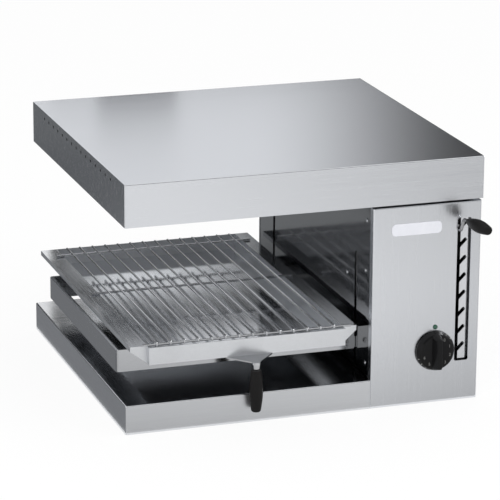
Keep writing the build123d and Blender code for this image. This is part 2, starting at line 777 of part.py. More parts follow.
def make_shaft_bushes():
    bushes = []
    for x in (BRACKET_LEFT, BRACKET_RIGHT):
        middle = x + BRACKET_SHEET / 2
        ends = ((middle - BUSH_L / 2, SHAFT_Y, SHAFT_Z), (middle + BUSH_L / 2, SHAFT_Y, SHAFT_Z))
        bushes.append(rod(SHAFT_R + BUSH_WALL, *ends) - rod(SHAFT_R + RUN_FIT, *ends))
    return group(bushes)


def make_lift_shaft():
    start = BRACKET_LEFT + BRACKET_SHEET / 2 - BUSH_L / 2 - 1
    end = BRACKET_RIGHT + BRACKET_SHEET / 2 + BUSH_L / 2 + 1
    return rod(SHAFT_R, (start, SHAFT_Y, SHAFT_Z), (end, SHAFT_Y, SHAFT_Z))


def idler_span(x):
    """The two cheeks of a lower wheel's fork, one on each side of the wheel."""
    inner = DRUM_W / 2 + BRACKET_CLEAR
    return (x - inner - BRACKET_SHEET, x - inner), (x + inner, x + inner + BRACKET_SHEET)


def make_idler_brackets():
    forks = []
    for x in (HANDLE_DRUM_X, RACK_DRUM_X):
        y = (SHAFT_Y - BRACKET_W / 2, SHAFT_Y + BRACKET_W / 2)
        left, right = idler_span(x)
        fork = block((left[0], right[1]), y, (SHEET, SHEET + BRACKET_SHEET))
        for cheek in (left, right):
            plate = block(cheek, y, (SHEET, IDLER_Z + BRACKET_W / 2))
            fork += fillet(plate.edges().filter_by(Axis.X).group_by(Axis.Z)[-1], BRACKET_W * 0.3)
        fork -= rod(AXLE_R, (left[0] - 1, SHAFT_Y, IDLER_Z), (right[1] + 1, SHAFT_Y, IDLER_Z))
        forks.append(fork)
    return group(forks)


def make_idler_axles():
    axles = []
    for x in (HANDLE_DRUM_X, RACK_DRUM_X):
        left, right = idler_span(x)
        axle = rod(AXLE_R, (left[0], SHAFT_Y, IDLER_Z), (right[1], SHAFT_Y, IDLER_Z))
        for end, out in ((left[0], -1), (right[1], 1)):
            axle += rod(AXLE_R + 2, (end, SHAFT_Y, IDLER_Z), (end + out * 2, SHAFT_Y, IDLER_Z))
        axles.append(axle)
    return group(axles)


def make_handle_rod():
    z = (SHEET, COLUMN_TOP - SHEET)
    return rod(HANDLE_ROD_R, (HANDLE_ROD_X, HANDLE_ROD_Y, z[0]), (HANDLE_ROD_X, HANDLE_ROD_Y, z[1]))


def make_handle_slider():
    left = HANDLE_ROD_X - BOSS_W / 2
    z = (HANDLE_Z - SLIDER_DOWN, HANDLE_Z + SLIDER_UP)
    body = block((left, SLIDER_RIGHT), (SLIDER_Y, SLIDER_Y + SLIDER_SHEET), z)
    boss_y = (SLIDER_Y + SLIDER_SHEET, SLIDER_Y + SLIDER_SHEET + BOSS_D)
    body += block((left, left + BOSS_W), boss_y, z)
    cable_y = SHAFT_Y - HANDLE_DRUM_R
    arm_z = (HANDLE_Z - CLAMP_DROP - CLAMP_H / 2, HANDLE_Z - CLAMP_DROP + CLAMP_H / 2)
    body += block((left, HANDLE_DRUM_X + 6), (cable_y - CLAMP_FRONT, cable_y + CLAMP_REAR), arm_z)
    body -= rod(HANDLE_ROD_R + RUN_FIT, (HANDLE_ROD_X, HANDLE_ROD_Y, z[0] - 1), (HANDLE_ROD_X, HANDLE_ROD_Y, z[1] + 1))
    hole_r = CABLE_R + RUN_FIT
    body -= rod(hole_r, (HANDLE_DRUM_X, cable_y, arm_z[0] - 1), (HANDLE_DRUM_X, cable_y, arm_z[1] + 1))
    slot_half = STEM_R + SLIDE_GAP
    y = (SLIDER_Y - 1, SLIDER_Y + SLIDER_SHEET + 1)
    ends = ((HANDLE_X, HANDLE_Z), (HANDLE_X + NOTCH_STEP, HANDLE_Z + NOTCH_STEP))
    for x, z in ends:
        body -= rod(slot_half, (x, y[0], z), (x, y[1], z))
    length = NOTCH_STEP * math.sqrt(2)
    middle = Pos(HANDLE_X + NOTCH_STEP / 2, (y[0] + y[1]) / 2, HANDLE_Z + NOTCH_STEP / 2)
    return body - middle * Rot(0, -45, 0) * Box(length, y[1] - y[0], 2 * slot_half)


GRIP_ROOT = (HANDLE_X + GRIP_SHIFT, FRONT - GRIP_OUT, HANDLE_Z + GRIP_RISE)
GRIP_DIR = (math.sin(math.radians(GRIP_TURN)), -math.cos(math.radians(GRIP_TURN)), 0.0)


def make_handle_stem():
    """Bent rod through the slot: straight run, crank in front of the panel, grip root."""
    rear = SLIDER_Y + SLIDER_SHEET + SLIDE_GAP + COLLAR_L
    crank = Vector(GRIP_ROOT) - Vector(GRIP_DIR) * CRANK_REACH
    inner = Vector(GRIP_ROOT) + Vector(GRIP_DIR) * (GRIP_GAP + GRIP_SOCKET)
    path = FilletPolyline(
        (HANDLE_X, rear, HANDLE_Z),
        (HANDLE_X, FRONT - STEM_OUT, HANDLE_Z),
        tuple(crank),
        tuple(inner),
        radius=STEM_BEND_R,
    )
    section = Plane(origin=(HANDLE_X, rear, HANDLE_Z), z_dir=(0, -1, 0)) * Circle(STEM_R)
    stem = sweep(section, path=path)
    for y in (SLIDER_Y - SLIDE_GAP - COLLAR_L, SLIDER_Y + SLIDER_SHEET + SLIDE_GAP):
        stem += rod(COLLAR_R, (HANDLE_X, y, HANDLE_Z), (HANDLE_X, y + COLLAR_L, HANDLE_Z))
    return stem


def barrel(length, waist_r, belly_r, end_r, bore_r, bore_l, origin, direction):
    """A grip: narrow neck, full belly and a rounded end, with a blind bore at its root."""
    round_r = end_r * 0.5
    shoulder = length - round_r
    outline = []
    for step in range(GRIP_RINGS + 1):
        share = step / GRIP_RINGS
        straight = waist_r + (end_r - waist_r) * share
        swell = belly_r - (waist_r + end_r) / 2
        outline.append((straight + swell * math.sin(math.pi * share), shoulder * share))
    for step in range(1, 4):
        turn = math.radians(30 * step)
        outline.append((end_r - round_r * (1 - math.cos(turn)), shoulder + round_r * math.sin(turn)))
    bore = [(0, length), (0, bore_l), (bore_r, bore_l), (bore_r, 0)]
    return turned(outline + bore, origin, direction)


def make_handle_grip():
    root = Vector(GRIP_ROOT) + Vector(GRIP_DIR) * GRIP_GAP
    return barrel(GRIP_L, GRIP_NECK_R, GRIP_R, GRIP_END_R, STEM_R, GRIP_SOCKET, root, GRIP_DIR)


# ================================================================ rack
CARRIAGE_Y = (FRONT_ARM_Y - CARRIAGE_OVER, REAR_ARM_Y + CARRIAGE_OVER)
GUIDE_X = CARRIAGE_X + CARRIAGE_T + GUIDE_BLOCK_W / 2
GUIDE_YS = (FRONT_ARM_Y + GUIDE_INSET, REAR_ARM_Y - GUIDE_INSET)
CARRIAGE_Z = (ARM_Z - CARRIAGE_OVER, ARM_Z - CARRIAGE_OVER + CARRIAGE_H)


def make_guide_rods():
    z = (SHEET, COLUMN_TOP - SHEET)
    return group([rod(GUIDE_R, (GUIDE_X, y, z[0]), (GUIDE_X, y, z[1])) for y in GUIDE_YS])


def make_carriage_plate():
    plate = block((CARRIAGE_X, CARRIAGE_X + CARRIAGE_T), CARRIAGE_Y, CARRIAGE_Z)
    plate = fillet(plate.edges().filter_by(Axis.X), 8)
    window = block(
        (CARRIAGE_X - 1, CARRIAGE_X + CARRIAGE_T + 1),
        (GUIDE_YS[0] + 30, GUIDE_YS[1] - 30),
        (CARRIAGE_Z[0] + 16, CARRIAGE_Z[1] - 16),
    )
    return plate - fillet(window.edges().filter_by(Axis.X), 8)


def make_guide_blocks():
    blocks = []
    for y in GUIDE_YS:
        half = GUIDE_BLOCK_W / 2
        body = block((CARRIAGE_X + CARRIAGE_T, GUIDE_X + half), (y - half, y + half), CARRIAGE_Z)
        body = fillet(body.edges().filter_by(Axis.Z).group_by(Axis.X)[-1], 5)
        ends = ((GUIDE_X, y, CARRIAGE_Z[0] - 1), (GUIDE_X, y, CARRIAGE_Z[1] + 1))
        blocks.append(body - rod(GUIDE_R + RUN_FIT, *ends))
    return group(blocks)


def make_cable_clamp():
    y = SHAFT_Y + RACK_DRUM_R
    z = (CARRIAGE_Z[1] - 30, CARRIAGE_Z[1] - 12)
    body = block((CARRIAGE_X + CARRIAGE_T, RACK_DRUM_X + 7), (y - 6, y + 6), z)
    return body - rod(CABLE_R + RUN_FIT, (RACK_DRUM_X, y, z[0] - 1), (RACK_DRUM_X, y, z[1] + 1))


def make_arm(y):
    arm = block((CRADLE_LEFT + CRADLE_R, CARRIAGE_X), (y - ARM_T / 2, y + ARM_T / 2), (ARM_Z, ARM_TOP))
    for x in SCREW_XS:
        arm -= rod(CRADLE_SCREW_R, (x, y - ARM_T, SCREW_Z), (x, y + ARM_T, SCREW_Z))
    return arm


SCREW_Z = ARM_Z + ARM_H * 0.6
SCREW_XS = (CRADLE_LEFT + CRADLE_SCREW_LEFT, CRADLE_RIGHT - CRADLE_SCREW_RIGHT)
TRAY_GATE = (TRAY_LEFT - TRAY_GUIDE_GAP, TRAY_RIGHT + TRAY_GUIDE_GAP)
STRIP_TOP = TRAY_Z - REST_GAP


def make_cradle_frame():
    y = (CRADLE_FRONT, CRADLE_FRONT + CRADLE_D)
    x = (CRADLE_LEFT, CRADLE_RIGHT)
    z = (CRADLE_Z, CRADLE_Z + CRADLE_H)
    frame = block(x, y, z)
    frame = fillet(frame.edges().filter_by(Axis.Z).sort_by(Axis.X)[:2], CRADLE_R)
    inner = block(
        (x[0] + CRADLE_SHEET, x[1] + 1),
        (y[0] + CRADLE_SHEET, y[1] - CRADLE_SHEET),
        (z[0] + CRADLE_SHEET, z[1] - CRADLE_SHEET),
    )
    inner = fillet(inner.edges().filter_by(Axis.Z).sort_by(Axis.X)[:2], CRADLE_R - CRADLE_SHEET)
    frame -= inner
    for level, lip in ((z[0], CRADLE_SHEET + ARM_T), (z[1], CRADLE_LIP)):
        frame -= block(
            (x[0] + lip, x[1] + 1),
            (y[0] + lip, y[1] - lip),
            (level - 2 * CRADLE_SHEET, level + 2 * CRADLE_SHEET),
        )
    frame -= block(TRAY_GATE, (y[0] - 1, y[1] + 1), (STRIP_TOP, z[1] + 1))
    for sx in SCREW_XS:
        frame -= rod(CRADLE_SCREW_R, (sx, y[0] - 1, SCREW_Z), (sx, y[0] + 3, SCREW_Z))
        frame -= rod(CRADLE_SCREW_R, (sx, y[1] - 3, SCREW_Z), (sx, y[1] + 1, SCREW_Z))
    return frame


def make_cradle_rails():
    """Two angle rails under the tray, from arm to arm."""
    rails = []
    y = (FRONT_ARM_Y + ARM_T / 2, REAR_ARM_Y - ARM_T / 2)
    for x, side in ((TRAY_LEFT + RUNNER_INSET, 1), (TRAY_RIGHT - RUNNER_INSET, -1)):
        top = (STRIP_TOP - RUNNER_T, STRIP_TOP)
        flange = sorted((x, x + side * RUNNER_W))
        rail = block(tuple(flange), y, top)
        web = sorted((x, x + side * RUNNER_T))
        rail += block(tuple(web), y, (ARM_Z + RUNNER_T, STRIP_TOP))
        rails.append(rail)
    return group(rails)


def make_cradle_screws():
    screws = []
    for x in SCREW_XS:
        for seat, inward in ((CRADLE_FRONT, 1), (CRADLE_FRONT + CRADLE_D, -1)):
            tip = seat + inward * (CRADLE_SHEET + ARM_T)
            screws.append(
                screw(
                    (x, seat, SCREW_Z),
                    (x, tip, SCREW_Z),
                    CRADLE_SCREW_R,
                    CRADLE_SCREW_HEAD_R,
                    CRADLE_SCREW_HEAD_H,
                )
            )
    return group(screws)


# ================================================================ tray and grid
TRAY_BACK = TRAY_FRONT + TRAY_D
TRAY_TOP = TRAY_Z + TRAY_H
LIP_LEFT = TRAY_LEFT - TRAY_LIP_LEFT
LIP_RIGHT = TRAY_RIGHT + TRAY_LIP_RIGHT


def make_drip_tray():
    s = TRAY_SHEET
    tray = block((TRAY_LEFT, TRAY_RIGHT), (TRAY_FRONT, TRAY_BACK), (TRAY_Z, TRAY_TOP))
    tray -= block((TRAY_LEFT + s, TRAY_RIGHT - s), (TRAY_FRONT + s, TRAY_BACK - s), (TRAY_Z + s, TRAY_TOP + s))
    rim = (TRAY_FRONT - TRAY_RIM_T, TRAY_FRONT + s)
    tray += block((TRAY_LEFT, TRAY_RIGHT), rim, (TRAY_TOP - TRAY_RIM_H, TRAY_TOP))
    y = (TRAY_FRONT + TRAY_LIP_SETBACK, TRAY_BACK)
    for inner, outer in ((TRAY_LEFT, LIP_LEFT), (TRAY_RIGHT, LIP_RIGHT)):
        tray += block(tuple(sorted((inner, outer))), y, (TRAY_TOP - s, TRAY_TOP))
        edge = sorted((outer, outer + (s if outer < inner else -s)))
        tray += block(tuple(edge), y, (TRAY_TOP - TRAY_HEM, TRAY_TOP))
        gusset = Polyline(
            (outer, y[0], TRAY_TOP),
            (outer, y[0], TRAY_TOP - TRAY_HEM),
            (inner, y[0], TRAY_Z),
            (inner, y[0], TRAY_TOP),
            close=True,
        )
        tray += extrude(make_face(gusset.edges()), amount=s, dir=(0, 1, 0))
    return tray


TIP_Y = TRAY_FRONT - PLATE_REACH


def make_tray_handle_plate():
    z = TRAY_Z
    outline = Polyline(
        (PLATE_X - PLATE_ROOT_W / 2, TRAY_FRONT + 20, z),
        (PLATE_X + PLATE_ROOT_W / 2, TRAY_FRONT + 20, z),
        (PLATE_X + PLATE_ROOT_W / 2, TRAY_FRONT, z),
        (PLATE_X + PLATE_TIP_W / 2, TIP_Y, z),
        (PLATE_X - PLATE_TIP_W / 2, TIP_Y, z),
        (PLATE_X - PLATE_ROOT_W / 2, TRAY_FRONT, z),
        close=True,
    )
    plate = extrude(make_face(outline.edges()), amount=PLATE_T, dir=(0, 0, -1))
    plate += rod(PLATE_TIP_W / 2, (PLATE_X, TIP_Y, z - PLATE_T), (PLATE_X, TIP_Y, z))
    return plate


def make_tray_ferrule():
    top = TRAY_Z - PLATE_T
    profile = [
        (0, 0),
        (FERRULE_R, 0),
        (FERRULE_R, FERRULE_COLLAR),
        (FERRULE_TIP_R, FERRULE_L),
        (TRAY_SCREW_R, FERRULE_L),
        (TRAY_SCREW_R, FERRULE_L + TRAY_SCREW_L),
        (0, FERRULE_L + TRAY_SCREW_L),
    ]
    return turned(profile, (PLATE_X, TIP_Y, top), (0, 0, -1))


def make_tray_grip():
    top = TRAY_Z - PLATE_T - FERRULE_L
    radii = (TRAY_GRIP_TOP_R, TRAY_GRIP_R, TRAY_GRIP_END_R, TRAY_SCREW_R)
    return barrel(TRAY_GRIP_L, *radii, TRAY_SCREW_L, (PLATE_X, TIP_Y, top), (0, 0, -1))


def make_wire_grid():
    """Long wires, hooked down at the front, welded on cross wires that lie on the tray's lips."""
    cross_z = TRAY_TOP + REST_GAP + WIRE_R
    long_z = cross_z + 2 * WIRE_R - WIRE_WELD
    front = TRAY_FRONT + WIRE_FRONT_GAP + WIRE_R
    rear = TRAY_BACK - WIRE_REAR_GAP
    first = TRAY_LEFT + WIRE_INSET_LEFT
    pitch = (TRAY_RIGHT - WIRE_INSET_RIGHT - first) / (WIRE_COUNT - 1)
    cross_x = (TRAY_LEFT - CROSS_OVER, TRAY_RIGHT + CROSS_OVER)
    cross_front = front + 2 * WIRE_R - WIRE_WELD
    grid = []
    for y in (cross_front, front + (rear - front) * CROSS_MIDDLE, rear - CROSS_REAR_GAP):
        grid.append(rod(WIRE_R, (cross_x[0], y, cross_z), (cross_x[1], y, cross_z)))
    for number in range(WIRE_COUNT):
        x = first + number * pitch
        grid.append(rod(WIRE_R, (x, front, long_z), (x, rear, long_z)))
        grid.append(rod(WIRE_R, (x, front, cross_z - WIRE_R + REST_GAP), (x, front, long_z)))
        grid.append(Pos(x, front, long_z) * Sphere(WIRE_R))
    return grid[0].fuse(*grid[1:])


# ================================================================ supply
def make_cable_gland():
    profile = [
        (GLAND_BORE_R, -GLAND_IN),
        (GLAND_THREAD_R, -GLAND_IN),
        (GLAND_THREAD_R, SHEET),
        (GLAND_NUT_R, SHEET),
        (GLAND_NUT_R, SHEET + GLAND_OUT - 4),
        (GLAND_THREAD_R, SHEET + GLAND_OUT),
        (GLAND_BORE_R, SHEET + GLAND_OUT),
    ]
    gland = turned(profile, (GLAND_X, BACK - SHEET, GLAND_Z), (0, 1, 0))
    nut = extrude(RegularPolygon(GLAND_NUT_R, 6), 4) - extrude(Circle(GLAND_THREAD_R), 4)
    return gland + Plane(origin=(GLAND_X, BACK - SHEET, GLAND_Z), z_dir=(0, -1, 0)) * nut


def make_terminal_block():
    x = (COLUMN_X + BLOCK_INSET, COLUMN_X + BLOCK_INSET + BLOCK_L)
    y = (BACK - SHEET - BLOCK_D, BACK - SHEET)
    z = (GLAND_Z - BLOCK_H / 2, GLAND_Z + BLOCK_H / 2)
    body = block(x, y, z)
    pitch = BLOCK_L / BLOCK_WAYS
    for number in range(BLOCK_WAYS):
        at = x[0] + (number + 0.5) * pitch
        body -= rod(2.2, (at, y[0] - 1, z[1] - 7), (at, y[0] + 8, z[1] - 7))
    return body


NODES = {
    "base_casing": make_base_casing,
    "base_plate": make_base_plate,
    "base_stiffeners": make_base_stiffeners,
    "front_panel": make_front_panel,
    "column_wall": make_column_wall,
    "wall_screws": make_wall_screws,
    "side_panel": make_side_panel,
    "back_panel": make_back_panel,
    "column_top": make_column_top,
    "hood_plinth": make_hood_plinth,
    "hood_casing": make_hood_casing,
    "hood_closing_plate": make_hood_closing_plate,
    "reflector": make_reflector,
    "insulation": make_insulation,
    "heating_elements": make_heating_elements,
    "element_rails": make_element_rails,
    "element_terminals": make_element_terminals,
    "hood_screws": make_hood_screws,
    "notch_plate": make_notch_plate,
    "knob": make_knob,
    "regulator_spindle": make_regulator_spindle,
    "energy_regulator": make_energy_regulator,
    "pilot_lens": make_pilot_lens,
    "pilot_holder": make_pilot_holder,
    "handle_pulley": lambda: pulley(HANDLE_DRUM_X, SHAFT_Z, HANDLE_DRUM_R, SHAFT_R),
    "rack_pulley": lambda: pulley(RACK_DRUM_X, SHAFT_Z, RACK_DRUM_R, SHAFT_R),
    "handle_idler": lambda: pulley(HANDLE_DRUM_X, IDLER_Z, HANDLE_DRUM_R, AXLE_R + RUN_FIT),
    "rack_idler": lambda: pulley(RACK_DRUM_X, IDLER_Z, RACK_DRUM_R, AXLE_R + RUN_FIT),
    "handle_cable": lambda: cable_loop(HANDLE_DRUM_X, HANDLE_DRUM_R),
    "rack_cable": lambda: cable_loop(RACK_DRUM_X, RACK_DRUM_R),
    "shaft_brackets": make_shaft_brackets,
    "shaft_bushes": make_shaft_bushes,
    "lift_shaft": make_lift_shaft,
    "idler_brackets": make_idler_brackets,
    "idler_axles": make_idler_axles,
    "handle_rod": make_handle_rod,
    "handle_slider": make_handle_slider,
    "handle_stem": make_handle_stem,
    "handle_grip": make_handle_grip,
    "guide_rods": make_guide_rods,
    "carriage_plate": make_carriage_plate,
    "guide_blocks": make_guide_blocks,
    "cable_clamp": make_cable_clamp,
    "front_arm": lambda: make_arm(FRONT_ARM_Y),
    "rear_arm": lambda: make_arm(REAR_ARM_Y),
    "cradle_frame": make_cradle_frame,
    "cradle_rails": make_cradle_rails,
    "cradle_screws": make_cradle_screws,
    "drip_tray": make_drip_tray,
    "tray_handle_plate": make_tray_handle_plate,
    "tray_ferrule": make_tray_ferrule,
    "tray_grip": make_tray_grip,
    "wire_grid": make_wire_grid,
    "cable_gland": make_cable_gland,
    "terminal_block": make_terminal_block,
}

os.makedirs("parts", exist_ok=True)
for name, make in NODES.items():
    export_step(make(), f"parts/{name}.step")
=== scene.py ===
import math

import bmesh
import bpy
from bpy.props import (
    FloatProperty,
    FloatVectorProperty,
    IntProperty,
    PointerProperty,
)
from bpy.types import Operator, Panel, PropertyGroup
from mathutils import Matrix, Vector


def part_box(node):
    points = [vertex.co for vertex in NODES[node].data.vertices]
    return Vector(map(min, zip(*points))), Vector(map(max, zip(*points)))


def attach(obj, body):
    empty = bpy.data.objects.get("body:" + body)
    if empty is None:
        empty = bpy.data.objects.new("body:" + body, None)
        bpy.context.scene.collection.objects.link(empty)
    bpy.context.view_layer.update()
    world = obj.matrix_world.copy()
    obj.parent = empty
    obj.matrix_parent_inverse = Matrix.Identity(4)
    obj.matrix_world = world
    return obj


bl_info = {
    "name": "Cheese melter",
    "version": (1, 0, 0),
    "blender": (4, 5, 0),
    "location": "View3D > Sidebar > Cheese melter",
    "description": "Finishes, fittings and a studio of lamps and cards for a countertop cheese melter",
    "category": "Object",
}

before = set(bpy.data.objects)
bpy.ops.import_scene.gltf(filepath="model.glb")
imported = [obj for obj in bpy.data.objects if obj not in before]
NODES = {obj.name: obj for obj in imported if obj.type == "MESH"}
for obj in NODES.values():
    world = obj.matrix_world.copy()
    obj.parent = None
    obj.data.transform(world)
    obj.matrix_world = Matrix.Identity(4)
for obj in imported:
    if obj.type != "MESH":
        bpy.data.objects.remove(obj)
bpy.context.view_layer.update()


# ------------------------------------------------------------------ settings
def colour(name, description, default):
    return FloatVectorProperty(
        name=name, description=description, default=default, size=3, subtype="COLOR", min=0.0, max=1.0
    )


def number(name, description, default, **limits):
    return FloatProperty(name=name, description=description, default=default, **limits)


def length(name, description, default):
    return number(name, description, default, unit="LENGTH", min=0.0, precision=5)


def share(name, description, default):
    return number(name, description, default, subtype="FACTOR", min=0.0, max=1.0)


class MelterFinishes(PropertyGroup):
    steel: colour("Satin steel", "Colour of the brushed stainless casings", (0.695, 0.710, 0.740))
    steel_roughness: share("Satin roughness", "How dull the brushed casings are", 0.24)
    bright: colour("Bright steel", "Colour of the polished stainless sheets", (0.600, 0.612, 0.632))
    bright_roughness: share("Bright roughness", "How dull the polished sheets are", 0.12)
    zinc: colour("Zinc steel", "Colour of the plated parts inside the column", (0.52, 0.53, 0.55))
    chrome: colour("Chrome", "Colour of the plated wires and rods", (0.66, 0.67, 0.69))
    sheath: colour("Heater sheath", "Colour of the oxidised heater tubes", (0.16, 0.15, 0.145))
    ceramic: colour("Ceramic", "Colour of the heater end insulators", (0.78, 0.74, 0.66))
    wool: colour("Mineral wool", "Colour of the insulation slab", (0.62, 0.55, 0.38))
    knob: colour("Knob", "Colour of the glossy knob", (0.007, 0.007, 0.0075))
    grip: colour("Grip", "Colour of the satin grips", (0.010, 0.0095, 0.0095))
    housing: colour("Housing", "Colour of the regulator and terminal housings", (0.045, 0.047, 0.05))
    lens: colour("Pilot lens", "Colour of the pilot lamp's lens", (0.010, 0.062, 0.036))
    print_white: colour("Dial print", "Colour of the numbers and marks on the knob", (0.62, 0.62, 0.60))
    plate: colour("Blank plate", "Colour of the blank plate on the front", (0.70, 0.71, 0.76))
    bronze: colour("Bronze", "Colour of the shaft's bushes", (0.52, 0.34, 0.17))


class MelterFittings(PropertyGroup):
    plate_centre_x: length("Plate centre", "Distance of the blank plate from the middle", 0.1865)
    plate_centre_z: length("Plate height", "Height of the blank plate's centre", 0.2975)
    plate_length: length("Plate length", "Length of the blank plate", 0.086)
    plate_width: length("Plate width", "Width of the blank plate", 0.020)
    plate_thickness: length("Plate thickness", "Thickness of the blank plate", 0.0008)
    number_height: length("Number height", "Height of the numbers on the knob", 0.0052)
    number_count: IntProperty(
        name="Numbers", description="How many numbers the knob carries", default=6, min=1, max=9
    )
    number_start: number("First number", "Angle of the first number, in degrees", 58.0)
    number_step: number("Number step", "Angle from number to number, in degrees", 36.5)
    mark_length: length("Mark length", "Length of a mark on the knob's skirt", 0.0030)
    dab_radius: length("Weld dab", "Radius of the weld dabs on the wire grid", 0.0017)
    screw_radius: length("Screw head", "Radius of the casing screws' heads", 0.0038)
    sleeve_depth: length("Vent shade sleeve depth", "Depth of the dark sleeves in the hood's side holes", 0.0011)
    screw_height: length("Screw head height", "Height of the casing screws' heads", 0.0017)


class MelterStudio(PropertyGroup):
    floor: colour("Floor", "Colour of the studio floor", (0.93, 0.93, 0.93))
    daylight: share("Daylight", "Strength of the even light from all round", 0.9)
    key: number("Key lamp", "Power of the large soft lamp at the front left", 34.0, min=0.0)
    fill: number("Fill lamp", "Power of the soft lamp at the right", 12.0, min=0.0)


# ------------------------------------------------------------------ node groups
def group_socket(group, name, way, kind, default=None, low=None, high=None):
    socket = group.interface.new_socket(name=name, in_out=way, socket_type=kind)
    if default is not None:
        socket.default_value = default
    if low is not None:
        socket.min_value = low
    if high is not None:
        socket.max_value = high
    return socket


def new_group(name):
    group = bpy.data.node_groups.new(name, "ShaderNodeTree")
    return group, group.nodes.new("NodeGroupInput"), group.nodes.new("NodeGroupOutput")


def preset(node, **values):
    """Sets numbers on a node's sockets. An underscore stands for a space."""
    for name, value in values.items():
        node.inputs[name.replace("_", " ")].default_value = value
    return node


def brushing_group():
    """Fine parallel brush marks. Run stretches them: a small number lies along the marks."""
    group, given, made = new_group("Brushing")
    group_socket(group, "Run", "INPUT", "NodeSocketVector", (900.0, 900.0, 18.0))
    group_socket(group, "Softness", "INPUT", "NodeSocketFloat", 0.5, 0.0, 1.0)
    group_socket(group, "Marks", "OUTPUT", "NodeSocketFloat")
    group_socket(group, "Height", "OUTPUT", "NodeSocketFloat")
    nodes, links = group.nodes, group.links
    place = nodes.new("ShaderNodeTexCoord")
    stretch = nodes.new("ShaderNodeVectorMath")
    stretch.operation = "MULTIPLY"
    links.new(place.outputs["Object"], stretch.inputs[0])
    links.new(given.outputs["Run"], stretch.inputs[1])
    fine = preset(nodes.new("ShaderNodeTexNoise"), Scale=1.0, Detail=5.0, Roughness=0.62)
    links.new(stretch.outputs[0], fine.inputs["Vector"])
    wide = nodes.new("ShaderNodeVectorMath")
    wide.operation = "SCALE"
    wide.inputs["Scale"].default_value = 0.11
    links.new(stretch.outputs[0], wide.inputs[0])
    bands = preset(nodes.new("ShaderNodeTexNoise"), Scale=1.0, Detail=2.0)
    links.new(wide.outputs[0], bands.inputs["Vector"])
    blend = nodes.new("ShaderNodeMix")
    links.new(given.outputs["Softness"], blend.inputs["Factor"])
    links.new(fine.outputs[0], blend.inputs["A"])
    links.new(bands.outputs[0], blend.inputs["B"])
    spread = preset(nodes.new("ShaderNodeMapRange"), From_Min=0.3, From_Max=0.7)
    links.new(blend.outputs["Result"], spread.inputs["Value"])
    links.new(spread.outputs[0], made.inputs["Marks"])
    links.new(fine.outputs[0], made.inputs["Height"])
    return group


def handling_group():
    """Cloudy wipe marks and faint smudges from handling and cleaning."""
    group, given, made = new_group("Handling")
    group_socket(group, "Size", "INPUT", "NodeSocketFloat", 9.0, 0.1, 100.0)
    group_socket(group, "Cover", "INPUT", "NodeSocketFloat", 0.5, 0.0, 1.0)
    group_socket(group, "Smudge", "OUTPUT", "NodeSocketFloat")
    nodes, links = group.nodes, group.links
    place = nodes.new("ShaderNodeTexCoord")
    cloud = preset(nodes.new("ShaderNodeTexNoise"), Detail=4.0, Distortion=0.6)
    links.new(place.outputs["Object"], cloud.inputs["Vector"])
    links.new(given.outputs["Size"], cloud.inputs["Scale"])
    limit = nodes.new("ShaderNodeMath")
    limit.operation = "SUBTRACT"
    limit.inputs[0].default_value = 1.0
    links.new(given.outputs["Cover"], limit.inputs[1])
    fade = preset(nodes.new("ShaderNodeMapRange"), From_Max=0.85)
    fade.interpolation_type = "SMOOTHSTEP"
    links.new(cloud.outputs[0], fade.inputs["Value"])
    links.new(limit.outputs[0], fade.inputs["From Min"])
    links.new(fade.outputs[0], made.inputs["Smudge"])
    return group


def grain_group():
    """Fine random grain for moulded, fired and plated surfaces."""
    group, given, made = new_group("Grain")
    group_socket(group, "Fineness", "INPUT", "NodeSocketFloat", 900.0, 1.0, 9000.0)
    group_socket(group, "Grain", "OUTPUT", "NodeSocketFloat")
    group_socket(group, "Specks", "OUTPUT", "NodeSocketFloat")
    nodes, links = group.nodes, group.links
    place = nodes.new("ShaderNodeTexCoord")
    grit = preset(nodes.new("ShaderNodeTexNoise"), Detail=3.0, Roughness=0.7)
    links.new(place.outputs["Object"], grit.inputs["Vector"])
    links.new(given.outputs["Fineness"], grit.inputs["Scale"])
    cells = nodes.new("ShaderNodeTexVoronoi")
    cells.feature = "F1"
    links.new(place.outputs["Object"], cells.inputs["Vector"])
    links.new(given.outputs["Fineness"], cells.inputs["Scale"])
    links.new(grit.outputs[0], made.inputs["Grain"])
    links.new(cells.outputs["Distance"], made.inputs["Specks"])
    return group


BRUSHING = brushing_group()
HANDLING = handling_group()
GRAIN = grain_group()


# ------------------------------------------------------------------ materials
# How the brush marks are stretched along X, Y and Z. The small number lies along them.
BRUSHED_UP = (1500.0, 1500.0, 14.0)
BRUSHED_ACROSS = (12.0, 1400.0, 1400.0)
BRUSHED_IN_DEPTH = (1300.0, 16.0, 1300.0)
DECK_BRUSHING = (16.0, 1300.0, 1300.0)
TRAY_BRUSHING = (900.0, 22.0, 900.0)
BRUSH_DEPTH = 0.00001

# Tones against plain bright steel, as painted light and shade: the column wall is darkened as painted shade,
# the deck and the tray are lightened as painted light, and the tray's faces that look down are darkened as
# painted shade.
WALL_PAINTED_SHADE = 0.4
DECK_PAINTED_LIGHT = 1.2
TRAY_PAINTED_LIGHT = 1.24
TRAY_UNDERSIDE_SHADE = 0.45


def new_material(name):
    material = bpy.data.materials.new(name)
    material.use_nodes = True
    shader = material.node_tree.nodes["Principled BSDF"]
    return material, material.node_tree.nodes, material.node_tree.links, shader


def place_group(nodes, group, **values):
    node = nodes.new("ShaderNodeGroup")
    node.node_tree = group
    return preset(node, **values)


def shade_range(nodes, links, mask, low, high):
    """A number from low to high as the mask runs from 0 to 1."""
    node = preset(nodes.new("ShaderNodeMapRange"), To_Min=low, To_Max=high)
    links.new(mask, node.inputs["Value"])
    return node.outputs[0]


def colour_range(nodes, links, mask, low, high):
    """A colour from low to high as the mask runs from 0 to 1."""
    node = nodes.new("ShaderNodeMix")
    node.data_type = "RGBA"
    node.inputs[6].default_value = (*low, 1.0)
    node.inputs[7].default_value = (*high, 1.0)
    links.new(mask, node.inputs[0])
    return node.outputs[2]


